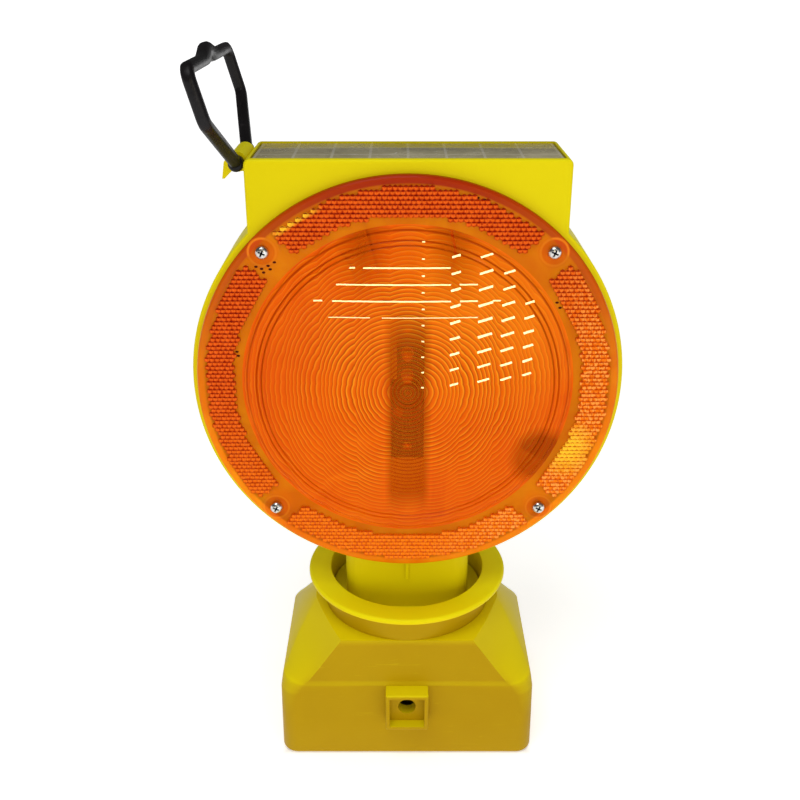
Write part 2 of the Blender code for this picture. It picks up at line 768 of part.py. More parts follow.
collar = turned(
    "collar_ring",
    [
        (COLLAR_BORE_R + 0.9, COLLAR_TOP_Z),
        (COLLAR_R - 2.6, COLLAR_TOP_Z - 0.5),
        (COLLAR_R - 0.6, COLLAR_TOP_Z - 1.6),
        (COLLAR_R, COLLAR_TOP_Z - 3.0),
        (COLLAR_R, COLLAR_TOP_Z - 4.4),
        (COLLAR_R - 1.2, TURRET_TOP_Z + GAP),
        (39.3, TURRET_TOP_Z + GAP),
        (39.3, DECK_Z + GAP),
        (COLLAR_BORE_R, DECK_Z + GAP),
        (COLLAR_BORE_R, COLLAR_TOP_Z - 0.9),
    ],
    closed=True,
)
piece(collar, YELLOW, parent=base_piece)

# Swivel bolt with its washers and lock nut


deck_under = DECK_Z - DECK_T
bolt = turned(
    "swivel_bolt",
    [
        (0.0, 90.0),
        (3.3, 90.0),
        (3.9, 89.4),
        (3.9, deck_under - 2.2),
        (3.9, deck_under - 3.4),
        (0.0, deck_under - 3.4),
    ],
    steps=20,
)
join(bolt, cylinder("bolt_head", (0, 0, deck_under - 7.4), (0, 0, deck_under - 2.2), 7.5, 6))
piece(bolt, STEEL, parent=base_piece)


def washer(name, bottom, top, bore, radius):
    return turned(name, [(bore, top), (radius, top), (radius, bottom), (bore, bottom)],
                  closed=True, steps=28)


piece(washer("swivel_washer_lower", deck_under - 1.9, deck_under - GAP, 4.3, 9.0), STEEL,
      parent=base_piece)
piece(washer("swivel_washer_upper", NECK_FLOOR_Z + GAP, NECK_FLOOR_Z + 1.9, 4.3, 9.0), STEEL,
      parent=base_piece)
lock_nut = cylinder("swivel_nut", (0, 0, NECK_FLOOR_Z + 2.2), (0, 0, NECK_FLOOR_Z + 9.4), 7.5, 6)
cut(lock_nut, cylinder("lock_nut_way", (0, 0, 60), (0, 0, 100), 4.2))
piece(lock_nut, STEEL, parent=base_piece)
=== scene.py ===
import math

import bmesh
import bpy
from mathutils import Matrix, Vector


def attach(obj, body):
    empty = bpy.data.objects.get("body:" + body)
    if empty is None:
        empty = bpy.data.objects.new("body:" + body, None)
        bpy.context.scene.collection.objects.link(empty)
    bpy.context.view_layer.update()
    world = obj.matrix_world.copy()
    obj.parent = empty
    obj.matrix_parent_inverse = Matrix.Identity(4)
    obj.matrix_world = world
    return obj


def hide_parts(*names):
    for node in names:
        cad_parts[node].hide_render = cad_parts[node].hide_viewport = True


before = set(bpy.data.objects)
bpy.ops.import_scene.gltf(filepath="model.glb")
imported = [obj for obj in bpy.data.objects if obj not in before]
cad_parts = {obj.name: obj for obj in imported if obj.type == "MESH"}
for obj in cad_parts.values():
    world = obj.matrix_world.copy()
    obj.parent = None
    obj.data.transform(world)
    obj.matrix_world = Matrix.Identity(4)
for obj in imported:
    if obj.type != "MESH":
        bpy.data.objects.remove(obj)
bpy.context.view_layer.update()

MM = 0.001

# Places and sizes that several pieces share, in millimetres
HEAD_Z = 193.0
DRUM_R = 95.0
HALF_Y = 22.0
BOX_X, BOX_TOP = 67.0, 291.0
SCREW_AT = 60.7
POST_Z = (150.0, 209.5)
PIVOT_X, PIVOT_Z = -70.6, 288.2
SWIVEL_BORE_R = 4.4
LEAN = math.radians(15.5)
SWITCH_ANGLE = math.radians(-33.0)

# Camera, in metres
LENS_MM, SENSOR_MM = 44.9, 36.0
CAMERA_PLACE = (-0.0034, -0.4287, 0.3667)
CAMERA_TILT = math.radians(65.9)

camera_data = bpy.data.cameras.new("camera")
camera_data.lens = LENS_MM
camera_data.sensor_width = SENSOR_MM
camera_data.clip_start = 0.01
camera = bpy.data.objects.new("camera", camera_data)
camera.location = CAMERA_PLACE
camera.rotation_euler = (CAMERA_TILT, 0.0, 0.0)
bpy.context.scene.collection.objects.link(camera)
bpy.context.scene.camera = camera
bpy.context.scene.view_settings.view_transform = "Standard"

# Two small lamps in front, in metres, whose light the lens's polished bars turn to the camera
STREAK_LAMP = (0.0, -1.6, 0.56)
DASH_LAMP = (0.50, -1.5, 0.56)

# Material helpers. Materials work in metres


def join(tree, value, socket):
    if isinstance(value, bpy.types.NodeSocket):
        tree.links.new(value, socket)
    else:
        socket.default_value = value


def sum_node(tree, operation, values):
    node = tree.nodes.new("ShaderNodeMath")
    node.operation = operation
    for value, socket in zip(values, node.inputs):
        join(tree, value, socket)
    return node.outputs[0]


class Nodes:
    """Short calls for building one material's node tree."""

    def __init__(self, name):
        self.mat = bpy.data.materials.new(name)
        self.mat.use_nodes = True
        self.tree = self.mat.node_tree
        self.shader = self.tree.nodes["Principled BSDF"]
        self.out = self.tree.nodes["Material Output"]
        self.coords = self.tree.nodes.new("ShaderNodeTexCoord").outputs["Object"]

    def link(self, value, socket):
        join(self.tree, value, socket)

    def math(self, operation, *values):
        return sum_node(self.tree, operation, values)

    def split(self, vector):
        node = self.tree.nodes.new("ShaderNodeSeparateXYZ")
        self.link(vector, node.inputs[0])
        return node.outputs

    def times(self, first, *others):
        for other in others:
            first = self.math("MULTIPLY", first, other)
        return first

    def away(self, value, place):
        """How far a value is from a place."""
        return self.math("ABSOLUTE", self.math("SUBTRACT", value, place))

    def repeat(self, value, pitch, shift=0.5):
        """Runs from -0.5 to 0.5 in each pitch, with 0 at the whole steps for shift 0.5."""
        steps = self.math("ADD", self.math("DIVIDE", value, pitch), shift)
        return self.math("SUBTRACT", self.math("FRACT", steps), 0.5)

    def distance(self, x, z, centre=(0.0, 0.0)):
        dx = self.math("SUBTRACT", x, centre[0])
        dz = self.math("SUBTRACT", z, centre[1])
        return self.math("SQRT", self.math("ADD", self.times(dx, dx), self.times(dz, dz)))

    def facing_up(self, normal="Normal"):
        """The world Z of the surface's normal."""
        geometry = self.tree.nodes.new("ShaderNodeNewGeometry")
        return self.split(geometry.outputs[normal])[2]

    def scaled(self, scale):
        node = self.tree.nodes.new("ShaderNodeMapping")
        self.link(self.coords, node.inputs["Vector"])
        node.inputs["Scale"].default_value = scale
        return node.outputs[0]

    def noise(self, scale, detail=4.0, roughness=0.55, vector=None, distortion=0.0):
        node = self.tree.nodes.new("ShaderNodeTexNoise")
        self.link(vector or self.coords, node.inputs["Vector"])
        node.inputs["Scale"].default_value = scale
        node.inputs["Detail"].default_value = detail
        node.inputs["Roughness"].default_value = roughness
        node.inputs["Distortion"].default_value = distortion
        return node.outputs["Fac"]

    def flakes(self, scale):
        """Three random tones for each cell of a Voronoi texture."""
        node = self.tree.nodes.new("ShaderNodeTexVoronoi")
        self.link(self.coords, node.inputs["Vector"])
        node.inputs["Scale"].default_value = scale
        return self.split(node.outputs["Color"])

    def ramp(self, value, stops):
        node = self.tree.nodes.new("ShaderNodeValToRGB")
        self.link(value, node.inputs[0])
        elements = node.color_ramp.elements
        while len(elements) < len(stops):
            elements.new(0.5)
        for element, (place, colour) in zip(elements, stops):
            element.position = place
            element.color = (*colour, 1.0) if len(colour) == 3 else colour
        return node.outputs[0]

    def window(self, value, low, high, to_low=0.0, to_high=1.0):
        node = self.tree.nodes.new("ShaderNodeMapRange")
        self.link(value, node.inputs["Value"])
        for socket, number in zip(("From Min", "From Max", "To Min", "To Max"),
                                  (low, high, to_low, to_high)):
            node.inputs[socket].default_value = number
        return node.outputs[0]

    def mix(self, factor, a, b):
        node = self.tree.nodes.new("ShaderNodeMix")
        node.data_type = "RGBA"
        self.link(factor, node.inputs["Factor"])
        self.link(a if not isinstance(a, tuple) else (*a, 1.0), node.inputs["A"])
        self.link(b if not isinstance(b, tuple) else (*b, 1.0), node.inputs["B"])
        return node.outputs["Result"]

    def bump(self, height, strength, distance, normal=None):
        node = self.tree.nodes.new("ShaderNodeBump")
        self.link(height, node.inputs["Height"])
        node.inputs["Strength"].default_value = strength
        node.inputs["Distance"].default_value = distance
        if normal is not None:
            self.link(normal, node.inputs["Normal"])
        return node.outputs[0]

    def finish(self, colour, roughness, metallic=0.0, normal=None, **sockets):
        self.link(colour if not isinstance(colour, tuple) else (*colour, 1.0),
                  self.shader.inputs["Base Color"])
        self.link(roughness, self.shader.inputs["Roughness"])
        self.shader.inputs["Metallic"].default_value = metallic
        if normal is not None:
            self.link(normal, self.shader.inputs["Normal"])
        for name, value in sockets.items():
            self.shader.inputs[name.replace("_", " ")].default_value = value
        return self.mat


def yellow_plastic(name, base, deep, painted_top_light, scuffs=0.35):
    """Moulded yellow with orange peel, scratches and grime, paler where it faces up as painted light
    from above.
    """
    n = Nodes(name)
    drift = n.noise(16.0, 3.0)
    speck = n.noise(900.0, 2.0)
    scratch = n.window(n.noise(60.0, 6.0, 0.7, n.scaled((1.0, 1.0, 14.0)), 1.5), 0.60, 0.72)
    grime = n.window(n.noise(38.0, 8.0, 0.75), 0.62, 0.85)
    colour = n.mix(n.window(drift, 0.3, 0.7), base, deep)
    # Painted light: faces that turn up are mixed towards the paler colour.
    colour = n.mix(n.window(n.facing_up(), 0.05, 0.85), colour, painted_top_light)
    colour = n.mix(n.times(scratch, 0.3 * scuffs), colour, (0.80, 0.68, 0.02))
    colour = n.mix(n.times(grime, 0.25 * scuffs), colour, (0.42, 0.25, 0.01))
    rough = n.window(n.math("ADD", n.times(drift, 0.6), n.times(speck, 0.4)), 0.3, 0.7, 0.34, 0.50)
    rough = n.math("ADD", rough, n.times(scratch, 0.12))
    peel = n.bump(n.noise(420.0, 2.0), 0.15, 0.0002)
    return n.finish(colour, rough, normal=n.bump(scratch, 0.05, 0.0001, peel),
                    Specular_IOR_Level=0.06, IOR=1.49)


def black_plastic(name, base, worn, rough_low, rough_high):
    n = Nodes(name)
    cloud = n.noise(70.0, 5.0)
    scratch = n.window(n.noise(130.0, 6.0, 0.7, n.scaled((1.0, 6.0, 1.0)), 1.0), 0.60, 0.75)
    colour = n.mix(n.window(cloud, 0.35, 0.75), base, worn)
    colour = n.mix(n.times(scratch, 0.35), colour, tuple(3.2 * c + 0.02 for c in worn))
    rough = n.window(cloud, 0.3, 0.7, rough_low, rough_high)
    grain = n.bump(n.noise(700.0, 2.0), 0.2, 0.0002)
    return n.finish(colour, rough, normal=n.bump(scratch, 0.2, 0.0001, grain),
                    Specular_IOR_Level=0.18)


def plated_steel(name):
    n = Nodes(name)
    cloud = n.noise(260.0, 5.0)
    bright = (0.72, 0.72, 0.70)
    colour = n.mix(n.window(cloud, 0.35, 0.75), bright, tuple(0.62 * c for c in bright))
    return n.finish(colour, n.window(cloud, 0.3, 0.75, 0.16, 0.42), metallic=1.0,
                    normal=n.bump(n.noise(1500.0, 2.0), 0.15, 0.0001))


def screw_steel(name):
    """Bright zinc, dull down in the cross recess, where painted shade makes it near black."""
    n = Nodes(name)
    x, y, z = n.split(n.coords)
    cloud = n.noise(420.0, 5.0)
    deep = n.times(n.window(y, -0.0279, -0.0274), n.window(n.distance(x, z), 0.0022, 0.0018))
    colour = n.mix(n.window(cloud, 0.35, 0.75), (0.78, 0.78, 0.76), (0.50, 0.50, 0.48))
    # Painted shade: the cross recess is coloured near black.
    colour = n.mix(deep, colour, (0.012, 0.012, 0.014))
    rough = n.math("ADD", n.window(cloud, 0.3, 0.75, 0.18, 0.40), n.times(deep, 0.4))
    return n.finish(colour, rough, metallic=1.0, normal=n.bump(n.noise(1500.0, 2.0), 0.15, 0.0001))


def insulation(name, base):
    n = Nodes(name)
    cloud = n.noise(300.0, 3.0)
    colour = n.mix(cloud, base, tuple(0.55 * c for c in base))
    return n.finish(colour, n.window(cloud, 0.3, 0.7, 0.35, 0.55),
                    normal=n.bump(n.noise(900.0, 2.0), 0.2, 0.0001))


def rubber(name):
    n = Nodes(name)
    grain = n.noise(1200.0, 3.0)
    return n.finish(n.mix(grain, (0.012, 0.012, 0.012), (0.035, 0.034, 0.033)), 0.82,
                    normal=n.bump(grain, 0.4, 0.0002))


def circuit_board(name):
    """Dark mask with raised tracks that run up the board."""
    n = Nodes(name)
    x, y, z = n.split(n.coords)
    across = n.math("FRACT", n.times(x, 260.0))
    track = n.math("LESS_THAN", n.away(across, 0.5), 0.12)
    colour = n.mix(track, (0.010, 0.012, 0.010), (0.035, 0.040, 0.020))
    rough = n.window(n.noise(150.0, 4.0), 0.3, 0.7, 0.3, 0.5)
    return n.finish(colour, rough, normal=n.bump(track, 0.3, 0.00005))


def resin(name, base, rough=0.08):
    n = Nodes(name)
    cloud = n.noise(400.0, 3.0)
    colour = n.mix(cloud, base, tuple(0.7 * c for c in base))
    return n.finish(colour, n.window(cloud, 0.3, 0.7, rough, rough + 0.1),
                    normal=n.bump(cloud, 0.05, 0.0001), Transmission_Weight=0.35)


def cell_jacket(name):
    """Green sleeve with bare metal at both ends of the cell."""
    n = Nodes(name)
    x, y, z = n.split(n.coords)
    end = n.math("GREATER_THAN", n.math("ABSOLUTE", x), 0.042)
    cloud = n.noise(120.0, 4.0)
    sleeve = n.mix(cloud, (0.03, 0.20, 0.09), (0.02, 0.12, 0.06))
    return n.finish(n.mix(end, sleeve, (0.5, 0.5, 0.48)), n.window(cloud, 0.3, 0.7, 0.2, 0.4),
                    normal=n.bump(cloud, 0.1, 0.0001))


CELL_WIDTH, FINGER_PITCH, BUS_Y = 0.0158, 0.0019, 0.0075


def solar_face(name):
    """Cells with fine grid lines under a scratched, dusty resin."""
    n = Nodes(name)
    x, y, z = n.split(n.coords)
    gap = n.math("LESS_THAN", n.math("ABSOLUTE", n.repeat(x, CELL_WIDTH)), 0.035)
    finger = n.math("LESS_THAN", n.math("FRACT", n.math("DIVIDE", y, FINGER_PITCH)), 0.10)
    bus = n.math("LESS_THAN", n.away(n.math("ABSOLUTE", y), BUS_Y), 0.0006)
    dust = n.window(n.noise(26.0, 8.0, 0.7), 0.42, 0.75)
    scratch = n.window(n.noise(34.0, 9.0, 0.8, n.scaled((1.0, 2.6, 1.0)), 3.5), 0.605, 0.64)
    body = n.mix(n.times(n.flakes(420.0)[0], 0.5), (0.36, 0.315, 0.170), (0.50, 0.445, 0.250))
    body = n.mix(n.times(finger, 0.18), body, (0.66, 0.62, 0.47))
    body = n.mix(n.times(n.math("MAXIMUM", gap, bus), 0.55), body, (0.70, 0.66, 0.52))
    body = n.mix(n.times(dust, 0.50), body, (0.74, 0.67, 0.46))
    body = n.mix(n.times(scratch, 0.75), body, (0.92, 0.90, 0.82))
    rough = n.math("ADD", n.window(dust, 0.0, 1.0, 0.12, 0.45), n.times(scratch, 0.3))
    waves = n.bump(n.noise(60.0, 4.0), 0.12, 0.0006)
    return n.finish(body, rough, normal=n.bump(scratch, 0.25, 0.0001, waves),
                    Coat_Weight=0.4, Coat_Roughness=0.08)


def through_glass(n, clear, tint):
    """Mixes the surface with what lies behind it. Lamps reach the inside undimmed."""
    see = n.tree.nodes.new("ShaderNodeBsdfTransparent")
    see.inputs["Color"].default_value = (*tint, 1.0)
    open_way = n.tree.nodes.new("ShaderNodeBsdfTransparent")
    path = n.tree.nodes.new("ShaderNodeLightPath")
    body = n.tree.nodes.new("ShaderNodeMixShader")
    n.link(clear, body.inputs[0])
    n.link(n.shader.outputs[0], body.inputs[1])
    n.link(see.outputs[0], body.inputs[2])
    lit = n.tree.nodes.new("ShaderNodeMixShader")
    n.link(path.outputs["Is Shadow Ray"], lit.inputs[0])
    n.link(body.outputs[0], lit.inputs[1])
    n.link(open_way.outputs[0], lit.inputs[2])
    n.link(lit.outputs[0], n.out.inputs["Surface"])
    return n.mat


# Pitches of the lens's optics, in metres
RING_PITCH = 0.00195
STRIP = 0.0152
ROW = 0.00703
PRISM_PITCH = 0.00215
PRISM_ROWS = PRISM_PITCH * math.sqrt(3.0)
# Radii of painted shade lines: the two grooves and the dome's foot.
PAINTED_SHADE_RINGS = (0.0640, 0.0662, 0.0703)


def lens_clarity(n, x, z):
    """High over the board, beside the upper wires and at the switch, and low elsewhere."""
    aside = n.math("ABSOLUTE", x)
    over_board = n.times(n.window(z, -0.062, -0.050), n.window(z, 0.040, 0.020))
    board = n.times(n.window(aside, 0.0105, 0.0070), over_board)
    wires = n.times(n.window(z, 0.040, 0.062), n.window(n.away(aside, 0.0190), 0.012, 0.0))
    switch = n.times(n.window(n.distance(x, z, (0.060, -0.034)), 0.016, 0.010), 0.8)
    most = n.math("MAXIMUM", n.math("MAXIMUM", board, wires), switch)
    return n.window(most, 0.0, 1.0, 0.20, 0.70)


def lens_dome(name):
    """Amber dome: rings round its middle, bent by upright strips and level rows of optics. The rings'
    dark and bright bands are painted refraction shade and light.
    """
    n = Nodes(name)
    x, y, z = n.split(n.coords)
    radius = n.distance(x, z)
    strip, row = n.repeat(x, STRIP), n.repeat(z, ROW)
    crown = n.math("ADD", n.times(strip, strip, 0.0048), n.times(row, row, 0.0012))
    wobble = n.times(n.math("SUBTRACT", n.noise(70.0, 3.0), 0.5), 0.0010)
    bent = n.math("ADD", n.math("ADD", radius, crown), wobble)
    saw = n.math("FRACT", n.math("DIVIDE", bent, RING_PITCH))
    # Painted shade and light: each ring gets a dark trough and a bright crest.
    rings = n.ramp(saw, [(0.0, (0.24, 0.014, 0.001)), (0.20, (0.68, 0.086, 0.001)),
                         (0.58, (0.86, 0.155, 0.002)), (0.82, (1.0, 0.42, 0.012)),
                         (1.0, (0.30, 0.020, 0.001))])
    warm = n.noise(30.0, 4.0, 0.6, n.scaled((1.0, 1.0, 0.6)), 1.0)
    plain = n.ramp(warm, [(0.30, (0.72, 0.072, 0.001)), (0.55, (0.82, 0.110, 0.001)),
                          (0.75, (0.92, 0.180, 0.003))])
    # Painted light: a brighter yellow patch on the upper right of the dome.
    painted_light_patch = n.window(n.distance(x, z, (0.034, 0.034)), 0.052, 0.010)
    plain = n.mix(n.times(painted_light_patch, 0.6), plain, (0.98, 0.27, 0.004))
    contrast = n.window(radius, 0.071, 0.025, 0.25, 0.85)
    patches = n.window(n.noise(46.0, 3.0), 0.35, 0.65, 0.45, 1.0)
    colour = n.mix(n.times(contrast, patches), plain, rings)
    # Painted shade: dark lines in the grooves and at the dome's foot, stronger towards the top.
    for edge in PAINTED_SHADE_RINGS:
        line = n.window(n.away(radius, edge), 0.0006, 0.0002)
        line = n.times(line, n.window(z, -0.045, 0.030, 0.12, 0.60))
        colour = n.mix(line, colour, (0.30, 0.018, 0.001))
    n.finish(colour, n.window(warm, 0.3, 0.7, 0.10, 0.20), Specular_IOR_Level=0.05,
             normal=n.bump(n.away(saw, 0.5), 0.22, 0.00025))
    clear = n.times(n.window(saw, 0.0, 0.6, 0.80, 1.0), lens_clarity(n, x, z))
    return through_glass(n, clear, (1.0, 0.46, 0.02))


def lens_inner(name):
    """The moulded back of the lens, whose sawtooth rings only tint what lies behind."""
    n = Nodes(name)
    flow = n.noise(60.0, 3.0)
    colour = n.ramp(flow, [(0.3, (0.70, 0.09, 0.001)), (0.7, (0.90, 0.19, 0.002))])
    n.finish(colour, n.window(flow, 0.3, 0.7, 0.15, 0.25), Specular_IOR_Level=0.05)
    return through_glass(n, n.window(flow, 0.3, 0.7, 0.90, 0.96), (1.0, 0.68, 0.10))


def lens_facet(name):
    """Polished bars on the dome that catch the lamps, pale all over as a painted highlight."""
    n = Nodes(name)
    flow = n.noise(260.0, 3.0)
    # Painted highlight: the bars' own colour is pale amber.
    colour = n.ramp(flow, [(0.3, (1.0, 0.52, 0.10)), (0.7, (1.0, 0.66, 0.18))])
    return n.finish(colour, 0.05, normal=n.bump(flow, 0.06, 0.0002), IOR=1.62)


def lens_plain(name):
    """Amber rim and flats with soft flow marks and a redder ring round each screw."""
    n = Nodes(name)
    x, y, z = n.split(n.coords)
    flow = n.noise(30.0, 4.0, 0.55, None, 1.2)
    colour = n.ramp(flow, [(0.30, (0.80, 0.160, 0.001)), (0.70, (0.92, 0.290, 0.002))])
    # Painted shade: a dark band along the outer rim, strongest towards the top.
    rim = n.window(n.distance(x, z), 0.0885, 0.0895)
    colour = n.mix(n.times(rim, n.window(z, -0.03, 0.09)), colour, (0.36, 0.022, 0.002))
    screw = n.distance(n.math("ABSOLUTE", x), n.math("ABSOLUTE", z), (SCREW_AT * MM, SCREW_AT * MM))
    colour = n.mix(n.window(screw, 0.0072, 0.0052, 0.0, 0.55), colour, (0.66, 0.06, 0.001))
    ring = n.window(n.away(screw, 0.0058), 0.0007, 0.0002)
    colour = n.mix(n.times(ring, 0.7), colour, (0.90, 0.26, 0.01))
    n.finish(colour, n.window(flow, 0.3, 0.7, 0.14, 0.26),
             normal=n.bump(flow, 0.15, 0.0006), Specular_IOR_Level=0.07)
    return through_glass(n, n.window(rim, 0.0, 1.0, 0.42, 0.10), (1.0, 0.52, 0.03))


def prism_distance(n, x, z, shift):
    """Distance to the nearest prism's middle, in the even rows (shift 0.5) or the odd ones (0)."""
    across = n.times(n.repeat(x, PRISM_PITCH, shift), PRISM_PITCH)
    up = n.times(n.repeat(z, PRISM_ROWS, shift), PRISM_ROWS)
    return n.distance(across, up)


def lens_reflex(name):
    """Prisms that are deep red below and orange above, painted shade and light by which way each face
    turns, with painted sparkles and a painted yellow glow where the sun sits.
    """
    n = Nodes(name)
    x, y, z = n.split(n.coords)
    tone = n.flakes(1.0 / 0.0012)
    # Painted shade and light: faces turned down are darker and faces turned up brighter, on top of a
    # random tone.
    face = n.math("ADD", n.window(n.facing_up("True Normal"), -0.40, 0.40, 0.0, 0.75),
                  n.times(tone[0], 0.30))
    # Painted light: a bright dot in the middle of each prism, darker at its outline.
    from_middle = n.math("MINIMUM", prism_distance(n, x, z, 0.5), prism_distance(n, x, z, 0.0))
    face = n.math("ADD", face, n.window(from_middle, 0.0012, 0.0003, -0.38, 0.34))
    colour = n.ramp(face, [(0.05, (0.14, 0.004, 0.001)), (0.45, (0.42, 0.022, 0.001)),
                           (0.95, (0.86, 0.140, 0.010))])
    warm = n.ramp(face, [(0.05, (0.48, 0.045, 0.001)), (0.45, (0.72, 0.100, 0.001)),
                         (0.95, (0.98, 0.27, 0.006))])
    # Painted light: warmer, brighter colour towards the bottom and towards the right.
    low = n.window(n.math("SUBTRACT", n.times(x, 0.35), z), -0.03, 0.085)
    colour = n.mix(n.times(low, 0.95), colour, warm)
    right = n.window(n.math("SUBTRACT", x, n.times(z, 0.35)), 0.040, 0.075)
    colour = n.mix(n.times(right, 0.45), colour, warm)
    # Painted glints: bright orange sparkles on random prisms at the right.
    painted_sparkle = n.times(n.math("GREATER_THAN", tone[1], 0.45), n.window(face, 0.5, 0.9))
    colour = n.mix(n.times(painted_sparkle, right, 0.8), colour, (1.0, 0.44, 0.08))
    # Painted glow: yellow patches at the lower right and along the upper-left edge.
    painted_glow = n.window(n.distance(x, z, (0.0715, -0.0300)), 0.0150, 0.0040)
    edge = n.times(n.window(n.distance(x, z, (-0.0470, 0.0745)), 0.0130, 0.0060),
                   n.window(n.distance(x, z), 0.0855, 0.0872))
    painted_glow = n.times(n.math("MAXIMUM", painted_glow, edge), n.window(face, 0.2, 0.6))
    colour = n.mix(painted_glow, colour, (1.0, 0.60, 0.03))
    return n.finish(colour, n.window(tone[0], 0.0, 1.0, 0.14, 0.26), Specular_IOR_Level=0.10,
                    normal=n.bump(tone[0], 0.05, 0.0001))


def soot(name):
    """Small burnt specks in the lens."""
    n = Nodes(name)
    cloud = n.noise(900.0, 3.0)
    return n.finish(n.mix(cloud, (0.030, 0.002, 0.001), (0.09, 0.008, 0.002)), 0.6,
                    normal=n.bump(cloud, 0.2, 0.0001), Specular_IOR_Level=0.05)


YELLOW = yellow_plastic("yellow_head", (0.680, 0.565, 0.001), (0.640, 0.515, 0.001),
                        (0.78, 0.69, 0.004))
# Painted shade: the base's copy of the yellow plastic is darker and more orange.
YELLOW_BASE_SHADED = yellow_plastic("yellow_base_painted_shade", (0.450, 0.282, 0.001), (0.410, 0.245, 0.001),
                             (0.80, 0.66, 0.003), 0.5)
# Painted light: the ring's copy of the yellow plastic is brighter.
YELLOW_RING_LIT = yellow_plastic("yellow_ring_painted_light", (0.76, 0.62, 0.001), (0.72, 0.56, 0.001),
                             (0.86, 0.77, 0.003), 0.4)
BLACK = black_plastic("handle_black", (0.0045, 0.0040, 0.0045), (0.012, 0.010, 0.011), 0.28, 0.45)
STEEL = plated_steel("zinc_plate")
SCREW_STEEL = screw_steel("screw_plate")
GASKET = rubber("gasket_rubber")
SOLAR = solar_face("solar_cells")
BOARD = circuit_board("board_green")
LED = resin("led_resin", (0.85, 0.40, 0.04))
SENSOR = resin("sensor_resin", (0.35, 0.12, 0.05), 0.15)
CELL = cell_jacket("cell_sleeve")
RED = insulation("wire_red", (0.80, 0.02, 0.015))
DARK = insulation("wire_black", (0.010, 0.009, 0.010))
DOME = lens_dome("amber_dome")
INNER = lens_inner("amber_inner")
PAINTED_GLINT_FACET = lens_facet("amber_facet_painted_glint")
SOOT = soot("burnt_specks")
RIM = lens_plain("amber_plain")
REFLEX = lens_reflex("amber_reflex")

# Shape helpers. Shapes are given in millimetres


def new_object(name, bm, smooth_angle=32.0):
    bmesh.ops.recalc_face_normals(bm, faces=bm.faces)
    mesh = bpy.data.meshes.new(name)
    bm.to_mesh(mesh)
    bm.free()
    obj = bpy.data.objects.new(name, mesh)
    bpy.context.scene.collection.objects.link(obj)
    mesh.shade_smooth()
    mesh.set_sharp_from_angle(angle=math.radians(smooth_angle))
    return obj


def flatten(obj, smooth_angle=32.0):
    graph = bpy.context.evaluated_depsgraph_get()
    mesh = bpy.data.meshes.new_from_object(obj.evaluated_get(graph))
    obj.modifiers.clear()
    obj.data = mesh
    mesh.shade_smooth()
    mesh.set_sharp_from_angle(angle=math.radians(smooth_angle))
    return obj


def arc(centre, radius, start, end, steps):
    return [(centre[0] + radius * math.cos(math.radians(start + (end - start) * i / steps)),
             centre[1] + radius * math.sin(math.radians(start + (end - start) * i / steps)))
            for i in range(steps + 1)]


def block(name, x, y, z, bevel=0.0, segments=3, axis=None):
    bm = bmesh.new()
    bmesh.ops.create_cube(bm, size=1.0)
    size = Vector((x[1] - x[0], y[1] - y[0], z[1] - z[0])) * MM
    bmesh.ops.scale(bm, vec=size, verts=bm.verts)
    bmesh.ops.translate(bm, vec=Vector((sum(x), sum(y), sum(z))) * MM / 2, verts=bm.verts)
    if bevel:
        chosen = [e for e in bm.edges if axis is None
                  or abs((e.verts[0].co - e.verts[1].co).normalized()[axis]) > 0.9]
        bmesh.ops.bevel(bm, geom=chosen, offset=bevel * MM, segments=segments, profile=0.5,
                        affect="EDGES")
    return new_object(name, bm)


def cylinder(name, start, end, radius, steps=32):
    a, b = Vector(start) * MM, Vector(end) * MM
    bm = bmesh.new()
    bmesh.ops.create_cone(bm, cap_ends=True, segments=steps, radius1=radius * MM,
                          radius2=radius * MM, depth=(b - a).length)
    turn = (b - a).to_track_quat("Z", "Y").to_matrix().to_4x4()
    bmesh.ops.transform(bm, matrix=Matrix.Translation((a + b) / 2) @ turn, verts=bm.verts)
    return new_object(name, bm)


def prism(name, points, y, bevel=0.0, segments=4):
    """An (x, z) outline between two Y values, with its end edges rounded."""
    bm = bmesh.new()
    front = [bm.verts.new((px * MM, y[0] * MM, pz * MM)) for px, pz in points]
    face = bm.faces.new(front)
    made = bmesh.ops.extrude_face_region(bm, geom=[face])
    moved = [g for g in made["geom"] if isinstance(g, bmesh.types.BMVert)]
    bmesh.ops.translate(bm, vec=(0.0, (y[1] - y[0]) * MM, 0.0), verts=moved)
    bmesh.ops.recalc_face_normals(bm, faces=bm.faces)
    if bevel:
        ends = [e for e in bm.edges if len(e.link_faces) == 2
                and e.calc_face_angle(0.0) > math.radians(60.0)]
        bmesh.ops.bevel(bm, geom=ends, offset=bevel * MM, segments=segments, profile=0.5,
                        affect="EDGES")
    return new_object(name, bm)


def turned_mesh(bm, profile, steps, centre=(0.0, 0.0, 0.0), facing="Y", closed=False,
                slot_of=None):
    """Adds a turned surface of (radius, forward) points to bm, forward being -Y or +Z."""
    rings = []
    for r, h in profile:
        ring = []
        count = 1 if r == 0 else steps
        for i in range(count):
            a = 2 * math.pi * i / steps
            if facing == "Y":
                co = (centre[0] + r * math.cos(a), centre[1] - h, centre[2] + r * math.sin(a))
            else:
                co = (centre[0] + r * math.cos(a), centre[1] + r * math.sin(a), centre[2] + h)
            ring.append(bm.verts.new(Vector(co) * MM))
        rings.append(ring)
    pairs = list(zip(rings, rings[1:]))
    if closed:
        pairs.append((rings[-1], rings[0]))
    for level, (a, b) in enumerate(pairs):
        for i in range(steps):
            j = (i + 1) % steps
            corners = [a[i % len(a)], a[j % len(a)], b[j % len(b)], b[i % len(b)]]
            unique = list(dict.fromkeys(corners))
            if len(unique) > 2:
                made = bm.faces.new(unique)
                if slot_of:
                    made.material_index = slot_of(level)


